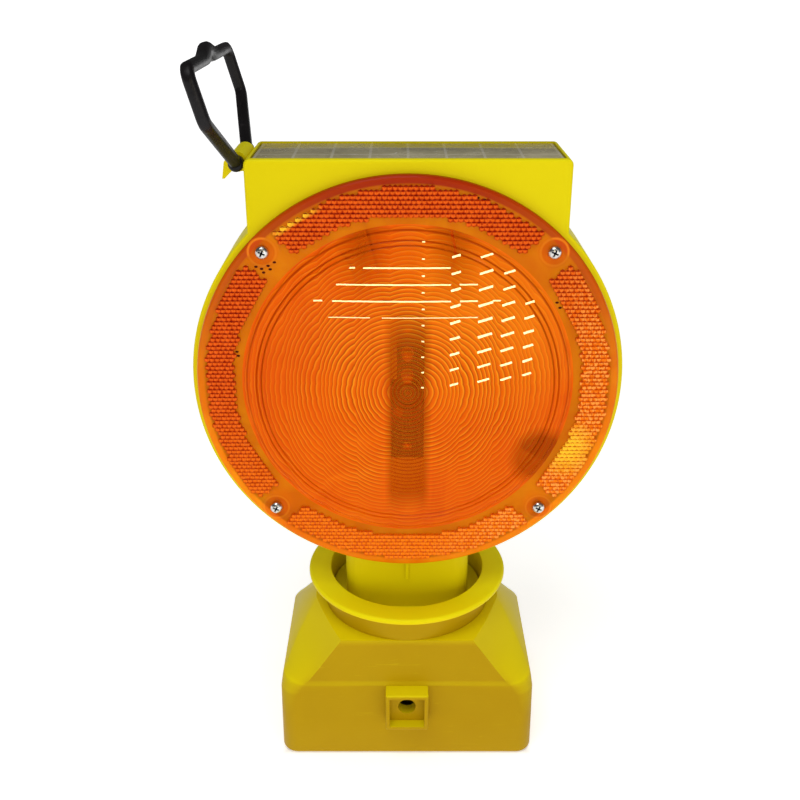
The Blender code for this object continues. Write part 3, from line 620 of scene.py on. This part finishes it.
def turned(name, profile, steps=96, centre=(0.0, 0.0, 0.0), facing="Y", closed=False):
    bm = bmesh.new()
    turned_mesh(bm, profile, steps, centre, facing, closed)
    return new_object(name, bm)


def boolean(obj, operation, *others, angle=32.0):
    for other in others:
        step = obj.modifiers.new("step", "BOOLEAN")
        step.operation = operation
        step.object = other
        step.solver = "EXACT"
    flatten(obj, angle)
    for other in others:
        bpy.data.objects.remove(other, do_unlink=True)
    return obj


def soften(obj, width, segments=2, angle=40.0):
    """Rounds the sharp edges that a cut has left."""
    step = obj.modifiers.new("edges", "BEVEL")
    step.width = width * MM
    step.segments = segments
    step.limit_method = "ANGLE"
    step.angle_limit = math.radians(angle)
    step.harden_normals = False
    step.use_clamp_overlap = True
    return flatten(obj, 45.0)


def settle(obj, body, materials, nodes=(), origin=None):
    """Gives a piece its origin, materials and body, and the CAD nodes it stands for."""
    if origin is not None:
        point = Vector(origin) * MM
        obj.data.transform(Matrix.Translation(-point))
        obj.location = point
    kept = [min(polygon.material_index, len(materials) - 1) for polygon in obj.data.polygons]
    obj.data.materials.clear()
    for mat in materials:
        obj.data.materials.append(mat)
    if len(materials) > 1:
        obj.data.polygons.foreach_set("material_index", kept)
    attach(obj, body)
    if nodes:
        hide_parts(*nodes)
    return obj


def repaint(node, mat):
    """A CAD node that keeps its shape and gets a finished material."""
    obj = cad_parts[node]
    if not obj.material_slots:
        obj.data.materials.append(mat)
    for place in obj.material_slots:
        place.material = mat


# Head housing

WALL, ROOF_ROUND = 3.0, 2.5
OPENING_R = 88.6
BARREL_R, BARREL_BORE_R, BARREL_HALF_Y = 4.1, 2.2, 12.2
STOP_FIN = [(-71.5, 291), (-76.5, 288), (-77.6, 281), (-76.6, 281), (-73, 284.5), (-71, 286)]
SCREW_BOSS_R, SCREW_BORE_R = 6.7, 1.8
POST_R, POST_BORE_R = 3.2, 1.4
SWITCH_BORE_R = 6.2


def head_outline(inset=0.0):
    """The drum's circle, run up into the box with rounded upper corners."""
    radius, half, top = DRUM_R - inset, BOX_X - inset, BOX_TOP - inset
    meet = math.degrees(math.acos(half / radius))
    points = arc((0.0, HEAD_Z), radius, 180.0 - meet, 360.0 + meet, 140)
    points += arc((half - ROOF_ROUND, top - ROOF_ROUND), ROOF_ROUND, 0.0, 90.0, 6)
    points += arc((ROOF_ROUND - half, top - ROOF_ROUND), ROOF_ROUND, 90.0, 180.0, 6)
    return points


outward = Vector((math.cos(SWITCH_ANGLE), 0.0, math.sin(SWITCH_ANGLE)))
hub = Vector((0.0, 0.0, HEAD_Z))

housing = prism("head_shell", head_outline(), (-HALF_Y, HALF_Y), 1.2, 3)
boolean(
    housing, "UNION",
    block("neck", (-30, 30), (-20, 20), (71.4, 112), 9.0, 6, 2),
    turned("foot", [(0, 72.4), (36.9, 72.4), (37.5, 71.8), (37.5, 67.3), (0, 67.3)], facing="Z"),
    block("gusset", (-0.9, 0.9), (-21.7, -17), (89.0, 104), 0.3, 2),
    cylinder("barrel", (PIVOT_X, -BARREL_HALF_Y, PIVOT_Z), (PIVOT_X, BARREL_HALF_Y, PIVOT_Z),
             BARREL_R, 40),
    block("barrel_web", (PIVOT_X, -64), (-BARREL_HALF_Y, BARREL_HALF_Y),
          (PIVOT_Z - 3.8, PIVOT_Z + 1.5)),
    prism("stop_fin", STOP_FIN, (-11, 11)),
)
room = prism("room", head_outline(WALL), (WALL - HALF_Y, HALF_Y - WALL))
boolean(room, "DIFFERENCE", block("ceiling", (-90, 90), (-30, 30), (286, 300)))
boolean(
    housing, "DIFFERENCE",
    room,
    cylinder("front_opening", (0, -30, HEAD_Z), (0, -10, HEAD_Z), OPENING_R, 140),
    block("roof_opening", (-58, 58), (-14.5, 14.5), (276, 300)),
    block("recess", (-64.5, 64.5), (-19.1, 19.1), (288.4, 300), 1.0, 3, 2),
    block("neck_room", (-26, 26), (-16, 16), (74, 130), 5.0, 4, 2),
    cylinder("pin_way", (PIVOT_X, -30, PIVOT_Z), (PIVOT_X, 30, PIVOT_Z), BARREL_BORE_R),
    cylinder("bolt_way", (0, 0, 50), (0, 0, 90), SWIVEL_BORE_R),
    cylinder("switch_way", hub + outward * 80, hub + outward * 110, SWITCH_BORE_R, 40),
)
places = [(sx * SCREW_AT, HEAD_Z + sz * SCREW_AT) for sx, sz in ((-1, 1), (1, 1), (1, -1), (-1, -1))]
inner = [cylinder(f"boss_{i}", (x, -21.95, z), (x, -7, z), SCREW_BOSS_R, 40)
         for i, (x, z) in enumerate(places)]
inner += [cylinder(f"post_{i}", (0, 3.9, z), (0, 20, z), POST_R) for i, z in enumerate(POST_Z)]
inner += [block(f"shelf_{i}", (x - 2, x + 2), (2, 20), (258.5, 264)) for i, x in enumerate((-34, 34))]
inner += [block("light_fin", (-3.8, 3.8), (4, 20), (218.5, 236), 0.5, 2)]
boolean(housing, "UNION", *inner)
ways = [cylinder(f"way_{i}", (x, -30, z), (x, -9, z), SCREW_BORE_R, 20)
        for i, (x, z) in enumerate(places)]
ways += [cylinder(f"post_way_{i}", (0, 0, z), (0, 13, z), POST_BORE_R, 20)
         for i, z in enumerate(POST_Z)]
boolean(housing, "DIFFERENCE", *ways)
settle(housing, "head", [YELLOW], ["head_housing"])

# Lens: a dome with sawtooth rings behind it, plain flats, four fields of corner cubes, polished
# bars and a few burnt specks

LENS_R, LENS_BACK = 92.5, 22.3
DOME_R, DOME_FRONT, DOME_DROP = 70.5, 32.6, 5.4
FLAT_Y = 26.1
GROOVES, GROOVE_HALF = (64.0, 66.2), 0.45
DOME_WALL, TOOTH_WIDTH, TOOTH_LOW, TOOTH_HIGH = 2.3, 1.75, 0.15, 0.95
REFLEX_IN, REFLEX_OUT, REFLEX_HALF_ANGLE = 75.5, 88.8, 39.0
CUBE_PITCH, CUBE_RELIEF, CUBE_PROUD, CUBE_SUNK = 1000 * PRISM_PITCH, 0.52, 0.12, 0.6
DOME_SLOT, FLAT_SLOT, REFLEX_SLOT, BACK_SLOT, BAR_SLOT, SPECK_SLOT = range(6)


def dome_front(radius):
    """How far the dome stands in front of the hub at a distance from the lens's middle."""
    return DOME_FRONT - DOME_DROP * (radius / DOME_R) ** 2


def in_reflex(x, z, margin):
    """True inside one of the four prism fields, which leave room for the screws."""
    radius = math.hypot(x, z)
    off = (math.degrees(math.atan2(z, x)) + 45.0) % 90.0 - 45.0
    return REFLEX_IN + margin < radius < REFLEX_OUT - margin and abs(off) < REFLEX_HALF_ANGLE


def front_profile():
    """The clear disc in the middle with two fine rings, the dome with its grooves, and its foot."""
    points = [(0.0, 33.1), (1.0, 33.0), (4.0, 32.9), (4.2, 32.3), (5.6, 32.35), (5.9, 32.75),
              (6.3, 32.35), (7.6, 32.45), (7.9, 32.75), (8.3, 32.4)]
    points += [(float(r), dome_front(r)) for r in range(12, 62, 4)]
    for groove in GROOVES:
        points += [(groove - GROOVE_HALF, dome_front(groove)),
                   (groove, dome_front(groove) - GROOVE_HALF),
                   (groove + GROOVE_HALF, dome_front(groove))]
    points += [(69.6, 27.5), (70.3, 27.3), (70.7, 26.7), (71.6, 26.2), (72.6, FLAT_Y)]
    return points


def back_profile():
    """The back from the rim to the middle, with its sawtooth rings."""
    points = [(90.8, LENS_BACK), (90.8, 23.6), (72.6, 23.6), (68.0, 24.9)]
    ring = 66.0
    while ring > 4.0:
        depth = dome_front(ring) - DOME_WALL
        points += [(ring, depth - TOOTH_LOW), (ring - TOOTH_WIDTH, depth - TOOTH_HIGH)]
        ring -= 1000 * RING_PITCH
    points.append((0.0, 30.1))
    return points


front = front_profile()
flats = [(75.5, FLAT_Y), (89.0, FLAT_Y), (90.4, FLAT_Y), (91.5, 25.95), (92.2, 25.5),
         (LENS_R, 24.8), (LENS_R, LENS_BACK)]


def lens_slot(level):
    """The slot of each turned band: the dome, then the flats and the rim, then the back."""
    if level < len(front) - 1:
        return DOME_SLOT
    if level < len(front) + len(flats):
        return FLAT_SLOT
    return BACK_SLOT


bm = bmesh.new()
turned_mesh(bm, front + flats + back_profile(), 144, (0.0, 0.0, HEAD_Z), slot_of=lens_slot)


def corner_cubes(bm):
    """Hexagons of three rhombic faces each, set proud of the flats and closed behind."""
    side = CUBE_PITCH / math.sqrt(3.0)
    made = {}
    faces = []

    def corner(x, z, level):
        key = (round(x * 50), round(z * 50))
        if key not in made:
            forward = FLAT_Y + CUBE_PROUD + CUBE_RELIEF * level
            made[key] = bm.verts.new(Vector((x, -forward, HEAD_Z + z)) * MM)
        return made[key]

    reach = int(REFLEX_OUT / side)
    for i in range(-reach, reach + 1):
        for j in range(-reach, reach + 1):
            x = CUBE_PITCH * (i + 0.5 * (j % 2))
            z = 1.5 * side * j
            if not in_reflex(x, z, 0.55 * side):
                continue
            middle = corner(x, z, 0.0)
            hexagon = [corner(x + side * math.sin(math.radians(60 * k)),
                              z + side * math.cos(math.radians(60 * k)), 1.0 + (k + 1) % 2)
                       for k in range(6)]
            for k in (1, 3, 5):
                rhombus = (middle, hexagon[k], hexagon[(k + 1) % 6], hexagon[(k + 2) % 6])
                faces.append(bm.faces.new(rhombus))
    for face in faces:
        face.material_index = REFLEX_SLOT
    back_side = bmesh.ops.extrude_face_region(bm, geom=faces, use_keep_orig=True)["geom"]
    for vert in [g for g in back_side if isinstance(g, bmesh.types.BMVert)]:
        vert.co.y = -(FLAT_Y - CUBE_SUNK) * MM


corner_cubes(bm)

BAR_PROUD, BAR_DEPTH = 0.30, 0.9
BOX_SIDES = ((0, 1, 2, 3), (7, 6, 5, 4), (0, 4, 5, 1), (1, 5, 6, 2), (2, 6, 7, 3), (3, 7, 4, 0))


def bar(bm, centre, along, length, height, lamp_place, step=4.0):
    """A polished bar on the dome, in short parts. Each turns the lamp's light to the camera."""
    parts = max(1, round(length / step))
    for i in range(parts):
        offset = (i + 0.5) / parts - 0.5
        x, z = (c + a * length * offset for c, a in zip(centre, along))
        point = Vector((x, -dome_front(math.hypot(x, z)) - BAR_PROUD, HEAD_Z + z)) * MM
        to_camera = (camera.location - point).normalized()
        to_lamp = (Vector(lamp_place) - point).normalized()
        normal = (to_camera + to_lamp).normalized()
        run = Vector((along[0], 0.0, along[1]))
        run = (run - normal * run.dot(normal)).normalized()
        rise = normal.cross(run).normalized()
        half_run = run * (length / parts / 2 * MM)
        half_rise = rise * (height / 2 * MM)
        top = [point + a * half_run + b * half_rise for a, b in ((-1, -1), (1, -1), (1, 1), (-1, 1))]
        low = [co - normal * BAR_DEPTH * MM for co in top]
        ring = [bm.verts.new(co) for co in top + low]
        for corners in BOX_SIDES:
            made = bm.faces.new([ring[c] for c in corners])
            made.material_index = BAR_SLOT


# Level streaks, (start, end) in each of the four upper rows, and a dot beside the middle of ten rows
LEVEL = (1.0, 0.0)
ROW_MM, TOP_ROW, TOP_DOT = 1000 * ROW, 54.9, 65.7
STREAKS = ([(-24.4, -22.0), (-18.7, 17.6)],
           [(-30.0, 17.8), (21.5, 29.0)],
           [(-39.8, -36.0), (-31.8, 17.9), (21.7, 29.2), (35.5, 38.8)],
           [(-33.7, -16.0), (-11.0, 29.4)])
STREAK_HEIGHTS = (0.62, 0.62, 0.62, 0.34)
for row, (spans, height) in enumerate(zip(STREAKS, STREAK_HEIGHTS)):
    for start, end in spans:
        bar(bm, ((start + end) / 2, TOP_ROW - ROW_MM * row), LEVEL, end - start, height, STREAK_LAMP)
for i in range(10):
    bar(bm, (6.3, TOP_DOT - ROW_MM * i), LEVEL, 1.2, 0.6, STREAK_LAMP)

# Columns of slanted dashes on the right: middle, length, first height, pitch and count
SLANT = (math.cos(math.radians(16.0)), math.sin(math.radians(16.0)))
DASHES = ((19.9, 4.4, 59.8, 7.0, 9), (32.6, 6.4, 59.8, 6.8, 9),
          (42.3, 5.8, 52.8, 6.7, 8), (51.4, 4.6, 39.6, 6.4, 6))
for middle, length, first, pitch, count in DASHES:
    for i in range(count):
        size = 0.75 + 0.25 * math.sin(math.pi * (i + 1) / (count + 1))
        bar(bm, (middle, first - pitch * i), SLANT, length * size, size, DASH_LAMP, 1.6)

SPECKS = ((-63.5, 54.5), (-61.2, 53.6), (-58.4, 54.9), (-55.7, 56.4), (-60.4, 52.0), (-57.6, 53.4),
          (-73.9, 16.5), (-73.4, 14.6), (28.2, 83.4), (30.7, 82.6), (63.1, 38.8), (64.5, 36.5))
for x, z in SPECKS:
    made = bmesh.ops.create_icosphere(bm, subdivisions=2, radius=0.62 * MM)
    bmesh.ops.scale(bm, vec=(1.25, 0.35, 0.8), verts=made["verts"])
    bmesh.ops.translate(bm, vec=Vector((x, -FLAT_Y - 0.1, HEAD_Z + z)) * MM, verts=made["verts"])
    for face in {f for v in made["verts"] for f in v.link_faces}:
        face.material_index = SPECK_SLOT

lens = new_object("front_lens_visual", bm, 22.0)
for polygon in lens.data.polygons:
    if polygon.material_index in (REFLEX_SLOT, BAR_SLOT):
        polygon.use_smooth = False
settle(lens, "head", [DOME, RIM, REFLEX, INNER, PAINTED_GLINT_FACET, SOOT], ["front_lens"],
       (0.0, 0.0, HEAD_Z))

# Lens screws: pan heads with a cross recess, on their shanks


def lens_screw(name, x, z):
    profile = [(0.0, 28.45), (0.9, 28.42), (1.7, 28.2), (2.35, 27.75), (2.75, 27.2), (2.85, 26.8),
               (2.8, 26.45), (1.45, 26.45), (1.45, 11.6), (0.6, 10.4), (0.0, 10.4)]
    screw = turned(name, profile, 40, (x, 0.0, z))
    cuts = []
    for i in range(2):
        cut = block(f"{name}_cross_{i}", (-1.55, 1.55), (-30.0, -27.35), (-0.36, 0.36))
        cut.data.transform(Matrix.Translation(Vector((x, 0.0, z)) * MM)
                           @ Matrix.Rotation(math.radians(25.0 + 90.0 * i), 4, "Y"))
        cuts.append(cut)
    boolean(screw, "DIFFERENCE", *cuts)
    return soften(screw, 0.10, 2, 30.0)


for i, (x, z) in enumerate(places, 1):
    screw = lens_screw(f"pan_screw_{i}", x, z)
    settle(screw, "head", [SCREW_STEEL], [f"lens_screw_{i}"], (x, 0.0, z))

# Carry handle: a moulded bar of rounded square section with an arch for a hook

ROD_HALF, BEND_R = 2.5, 4.6
EYE_Y, EYE_R, STUB_R, STUB_END = 15.7, 3.2, 1.9, 7.0
HALF_W, BEND_UP, REACH, ARCH_END = 47.0, 21.5, 41.5, 19
SECTION_POINTS, SQUARENESS = 20, 3.2


def rounded_path(points, radius, steps=8):
    """Points of a line whose inner corners are drawn as arcs."""
    path = [Vector(points[0])]
    for before, corner, after in zip(points, points[1:], points[2:]):
        into = (Vector(corner) - Vector(before)).normalized()
        out = (Vector(after) - Vector(corner)).normalized()
        turn = into.angle(out)
        start = Vector(corner) - into * radius * math.tan(turn / 2)
        aside = (out - into * math.cos(turn)).normalized()
        for i in range(steps + 1):
            sweep = turn * i / steps
            path.append(start + into * radius * math.sin(sweep)
                        + aside * radius * (1 - math.cos(sweep)))
    path.append(Vector(points[-1]))
    return path


def swell(across, half_width, height):
    """A smooth hump that is gone at half_width from the middle."""
    if abs(across) >= half_width:
        return 0.0
    return height * 0.5 * (1 + math.cos(math.pi * across / half_width))


def handle_stations():
    """(middle, direction, half thickness) of each section, in (across, up)."""
    left = rounded_path([(-EYE_Y - 0.4, 0.3), (-HALF_W, BEND_UP), (-HALF_W, REACH),
                         (-ARCH_END, REACH)], BEND_R)
    stations = []
    for i, point in enumerate(left):
        before = left[max(0, i - 1)]
        after = left[min(len(left) - 1, i + 1)]
        stations.append((point, (after - before).normalized(), ROD_HALF))
    for across in range(1 - ARCH_END, ARCH_END):
        top = ROD_HALF + swell(across, 17.5, 3.6)
        low = -ROD_HALF + swell(across, 8.5, 2.3)
        middle = Vector((across, REACH + (top + low) / 2))
        stations.append((middle, Vector((1.0, 0.0)), (top - low) / 2))
    for point, direction, half in reversed(stations[:len(left)]):
        stations.append((Vector((-point.x, point.y)), Vector((direction.x, -direction.y)), half))
    return stations


def section():
    """Unit points of a rounded square."""
    points = []
    for i in range(SECTION_POINTS):
        a = 2 * math.pi * (i + 0.5) / SECTION_POINTS
        across, up = math.cos(a), math.sin(a)
        size = (abs(across) ** SQUARENESS + abs(up) ** SQUARENESS) ** (-1 / SQUARENESS)
        points.append((size * across, size * up))
    return points


bm = bmesh.new()
rings = []
for middle, direction, half in handle_stations():
    side = Vector((direction.y, -direction.x))
    ring = []
    for u, v in section():
        across, up = middle + side * half * u
        ring.append(bm.verts.new(Vector((ROD_HALF * v, across, up)) * MM))
    rings.append(ring)
for ring, after in zip(rings, rings[1:]):
    for i in range(len(ring)):
        j = (i + 1) % len(ring)
        bm.faces.new((ring[i], ring[j], after[j], after[i]))
bm.faces.new(rings[0])
bm.faces.new(rings[-1])
handle = new_object("bail_handle", bm, 40.0)
ends = []
for side in (-1, 1):
    eye = [(0.0, 2.5), (EYE_R - 0.7, 2.5), (EYE_R, 1.8), (EYE_R, -1.8), (EYE_R - 0.7, -2.5),
           (0.0, -2.5)]
    ends.append(turned(f"eye_{side}", eye, 40, (0.0, side * EYE_Y, 0.0)))
    ends.append(cylinder(f"stub_{side}", (0, side * STUB_END, 0), (0, side * EYE_Y, 0), STUB_R))
boolean(handle, "UNION", *ends, angle=38.0)
lean = Matrix.Translation((PIVOT_X * MM, 0.0, PIVOT_Z * MM)) @ Matrix.Rotation(-LEAN, 4, "Y")
handle.data.transform(lean)
settle(handle, "handle", [BLACK], ["carry_handle"], (PIVOT_X, 0.0, PIVOT_Z))

# Base: a skirt that draws in to a turret, with a square boss in front and a round pad behind

BOSS_Z, BOSS_HALF, POCKET_HALF, MOUNT_BORE_R = 31.5, 10.4, 8.4, 4.25
TURRET_R, WELL_R, WELL_FLOOR = 41.5, 39.7, 67.0
CORNER_STEPS = 14


def level_points(half_x, half_y, cut_x, cut_y, flat):
    """A level outline. Its corners run from round (flat 0) to straight cuts (flat 1)."""
    quarter = []
    for i in range(CORNER_STEPS + 1):
        share = i / CORNER_STEPS
        a = math.pi / 2 * i / CORNER_STEPS
        round_x, round_y = 1.0 - math.cos(a), 1.0 - math.sin(a)
        quarter.append((half_x - cut_x * (round_x + flat * (share - round_x)),
                        half_y - cut_y * (round_y + flat * (1.0 - share - round_y))))
    other = [(-x, y) for x, y in reversed(quarter)]
    return quarter + other + [(-x, -y) for x, y in quarter] + [(-x, -y) for x, y in other]


def loft(name, levels, smooth_angle=32.0):
    """A solid through level outlines, each given as level_points takes it and then its height."""
    bm = bmesh.new()
    rings = []
    for *shape, z in levels:
        rings.append([bm.verts.new(Vector((x, y, z)) * MM) for x, y in level_points(*shape)])
    for low, high in zip(rings, rings[1:]):
        for i in range(len(low)):
            j = (i + 1) % len(low)
            bm.faces.new((low[i], low[j], high[j], high[i]))
    bm.faces.new(list(reversed(rings[0])))
    bm.faces.new(rings[-1])
    return new_object(name, bm, smooth_angle)


def between(levels, per_span):
    """More levels on smooth curves through the ones given."""
    knots = [Vector(level) for level in levels]
    knots = [2 * knots[0] - knots[1]] + knots + [2 * knots[-1] - knots[-2]]
    made = []
    for a, b, c, d in zip(knots, knots[1:], knots[2:], knots[3:]):
        for i in range(per_span):
            t = i / per_span
            made.append(0.5 * (2 * b + (c - a) * t + (2 * a - 5 * b + 4 * c - d) * t**2
                               + (3 * b - a - 3 * c + d) * t**3))
    made.append(Vector(levels[-1]))
    return [tuple(level) for level in made]


shoulder = [(62.2, 42.9, 9.0, 9.0, 0.0, 36.0), (61.4, 42.8, 11.0, 11.5, 0.2, 41.4),
            (60.5, 42.7, 12.1, 14.0, 0.4, 43.8), (56.4, 42.5, 13.9, 22.0, 0.75, 52.0),
            (51.6, 42.3, 14.5, 30.0, 0.85, 60.0), (47.4, 42.1, 14.8, 36.0, 0.85, 66.4)]
base = loft("base_shell", [(61.3, 41.8, 6.8, 6.8, 0.0, 0.0), (61.8, 42.4, 7.3, 7.3, 0.0, 0.2),
                           (62.3, 42.8, 7.8, 7.8, 0.0, 0.8), (62.5, 43.0, 8.0, 8.0, 0.0, 1.6),
                           (62.3, 42.95, 8.0, 8.0, 0.0, 20.0)]
            + between(shoulder, 4) + [(46.2, 41.6, 14.7, 36.5, 0.85, 68.0)], 24.0)
boolean(
    base, "UNION",
    turned("turret", [(0, 78.3), (TURRET_R - 0.6, 78.3), (TURRET_R, 77.7), (TURRET_R, 60.0), (0, 60.0)],
           128, facing="Z"),
    block("boss", (-BOSS_HALF, BOSS_HALF), (-50.5, -38.0), (BOSS_Z - BOSS_HALF, BOSS_Z + BOSS_HALF),
          0.9, 3),
    turned("rear_pad", [(0, -44.0), (9.4, -44.0), (10.0, -43.4), (10.0, -38.0), (0, -38.0)], 64,
           (0.0, 0.0, BOSS_Z)),
)
hollow = loft("base_room", [(59.1, 39.6, 5.0, 5.0, 0.0, -5.0), (59.1, 39.6, 7.0, 7.0, 0.0, 37.0),
                            (53.3, 39.1, 13.7, 21.0, 0.75, 51.0), (44.0, 38.6, 13.0, 32.0, 0.85, 63.0)])
boolean(
    base, "DIFFERENCE",
    hollow,
    turned("well", [(0, 100), (40.3, 100), (40.3, 78.6), (WELL_R, 77.8), (WELL_R, WELL_FLOOR),
                    (0, WELL_FLOOR)], 128, facing="Z"),
    block("pocket", (-POCKET_HALF, POCKET_HALF), (-60.0, -45.5),
          (BOSS_Z - POCKET_HALF, BOSS_Z + POCKET_HALF), 0.6, 3, 1),
    cylinder("mount_way", (0, -60, BOSS_Z), (0, 60, BOSS_Z), MOUNT_BORE_R, 48),
    cylinder("swivel_way", (0, 0, 50), (0, 0, 90), SWIVEL_BORE_R, 40),
    angle=30.0,
)
settle(base, "base", [YELLOW_BASE_SHADED], ["base_body"])

# Collar ring: a flange with a rounded edge on a sleeve that stands in the base's well

FLANGE_AT, FLANGE_ROUND = (47.7, 83.5), 1.5
collar_profile = [(38.9, 85.2)]
collar_profile += [(FLANGE_AT[0] + FLANGE_ROUND * math.sin(math.radians(a)),
                    FLANGE_AT[1] + FLANGE_ROUND * math.cos(math.radians(a)))
                   for a in range(0, 151, 15)]
collar_profile += [(43.4, 80.6), (42.2, 79.6), (41.6, 78.6), (39.3, 78.6), (39.3, 67.3), (38.0, 67.3),
                   (38.0, 84.3), (38.3, 84.9)]
collar = turned("collar", collar_profile, 160, facing="Z", closed=True)
settle(collar, "base", [YELLOW_RING_LIT], ["collar_ring"])

# Solar panel: one slab, whose cells are drawn by its material

panel = block("panel_slab", (-64.2, 64.2), (-18.8, 18.8), (288.7, 290.4), 0.4, 3)
settle(panel, "head", [SOLAR], ["solar_panel"], (0.0, 0.0, BOX_TOP))

# LED board: a notched slab with resistors, a chip and pads

RESISTORS = ((-4.6, 177.0), (4.4, 177.0), (-4.6, 160.0), (4.4, 156.0), (3.6, 205.0))
PADS = ((-6.4, 171.5), (6.4, 171.5), (6.4, 147.0), (-2.5, 214.5), (3.0, 214.5))

board = block("strip_board", (-8.0, 8.0), (2.0, 3.6), (143.5, 216.5))
boolean(board, "DIFFERENCE", block("notch", (-20.0, -4.8), (-5.0, 10.0), (184.0, 230.0)),
        *[cylinder(f"board_way_{i}", (0, -2, z), (0, 8, z), 1.5, 24) for i, z in enumerate(POST_Z)])
parts = [block(f"resistor_{i}", (x - 1.3, x + 1.3), (1.3, 2.2), (z - 0.7, z + 0.7), 0.15)
         for i, (x, z) in enumerate(RESISTORS)]
parts.append(block("chip", (1.2, 6.2), (0.8, 2.2), (160.5, 166.5), 0.25))
parts += [cylinder(f"pad_{i}", (x, 1.75, z), (x, 2.2, z), 1.0, 24) for i, (x, z) in enumerate(PADS)]
boolean(board, "UNION", *parts)
settle(board, "head", [BOARD], ["led_board"], (0.0, 2.0, 180.0))

# The remaining CAD nodes keep their shapes

for node, mat in {
    "lens_gasket": GASKET, "battery_holder": BLACK, "battery_cell_1": CELL, "battery_cell_2": CELL,
    "board_screw_1": STEEL, "board_screw_2": STEEL, "led_1": LED, "led_2": LED,
    "light_sensor": SENSOR, "switch_body": BLACK, "switch_nut": STEEL, "switch_cap": BLACK,
    "switch_wire_red": RED, "panel_wire_red": RED, "battery_wire_red": RED,
    "switch_wire_black": DARK, "panel_wire_black": DARK, "battery_wire_black": DARK,
    "swivel_bolt": STEEL, "swivel_nut": STEEL, "swivel_washer_lower": STEEL,
    "swivel_washer_upper": STEEL,
}.items():
    repaint(node, mat)

# Floor and lights, in metres and watts


def lamp(name, place, target, size, power, colour=(1.0, 1.0, 1.0)):
    data = bpy.data.lights.new(name, "AREA")
    data.shape = "RECTANGLE"
    data.size, data.size_y = size
    data.energy = power
    data.color = colour
    obj = bpy.data.objects.new(name, data)
    obj.location = place
    aim = Vector(target) - Vector(place)
    obj.rotation_euler = aim.to_track_quat("-Z", "Y").to_euler()
    obj.visible_camera = False
    bpy.context.scene.collection.objects.link(obj)
    return obj


def floor_material():
    """White paper that glows a little round the base and more far away. The glow fades to nothing at
    the base's outline: a painted contact shadow.
    """
    n = Nodes("floor_paper")
    grain = n.noise(40.0, 5.0)
    colour = n.mix(grain, (0.95, 0.95, 0.95), (0.93, 0.93, 0.93))
    x, y, z = n.split(n.coords)
    # Painted shadow: the glow is zero under the base and rises just outside it.
    outside = n.math("MAXIMUM", n.math("SUBTRACT", n.math("ABSOLUTE", x), 0.059),
                     n.math("SUBTRACT", n.math("ABSOLUTE", y), 0.040))
    glow_with_painted_shadow = n.math("ADD", n.window(outside, -0.002, 0.004, 0.0, 0.52),
                  n.window(outside, 0.5, 3.0, 0.0, 0.35))
    n.link(glow_with_painted_shadow, n.shader.inputs["Emission Strength"])
    return n.finish(colour, 0.9, normal=n.bump(n.noise(600.0, 3.0), 0.05, 0.0003),
                    Emission_Color=(1.0, 1.0, 1.0, 1.0))


bm = bmesh.new()
bmesh.ops.create_grid(bm, x_segments=4, y_segments=4, size=20.0)
floor = new_object("floor", bm)
floor.location = (0.0, 0.0, -0.0005)
floor.data.materials.append(floor_material())

# World: even light, less of it in mirrors, and white where the camera sees it
WORLD_LIGHT, MIRROR_LESS, CAMERA_WHITE = 0.41, -0.34, 1.05

world = bpy.data.worlds.new("studio")
world.use_nodes = True
tree = world.node_tree
ray = tree.nodes.new("ShaderNodeLightPath")
light = sum_node(tree, "MULTIPLY_ADD", (ray.outputs["Is Glossy Ray"], MIRROR_LESS, WORLD_LIGHT))
seen = sum_node(tree, "MULTIPLY", (ray.outputs["Is Camera Ray"], CAMERA_WHITE))
sky = tree.nodes["Background"]
join(tree, sum_node(tree, "MAXIMUM", (light, seen)), sky.inputs["Strength"])
sky.inputs["Color"].default_value = (1.0, 1.0, 1.0, 1.0)
bpy.context.scene.world = world

MIDDLE, LENS_MIDDLE, BASE_MIDDLE = (0.0, 0.0, 0.18), (0.0, 0.0, 0.22), (0.0, 0.0, 0.08)
WARM_WHITE = (1.0, 0.85, 0.52)
lamp("key", (-0.25, -0.8, 1.8), MIDDLE, (0.9, 0.9), 9.6)
lamp("fill", (0.9, -1.3, 0.6), MIDDLE, (0.8, 0.8), 2.0)
lamp("streak", STREAK_LAMP, LENS_MIDDLE, (0.16, 0.12), 0.75, WARM_WHITE)
lamp("dash", DASH_LAMP, LENS_MIDDLE, (0.16, 0.12), 1.0, WARM_WHITE)
low = lamp("low", (-0.1, -1.2, 0.10), BASE_MIDDLE, (0.6, 0.6), 3.2)
low.visible_glossy = False
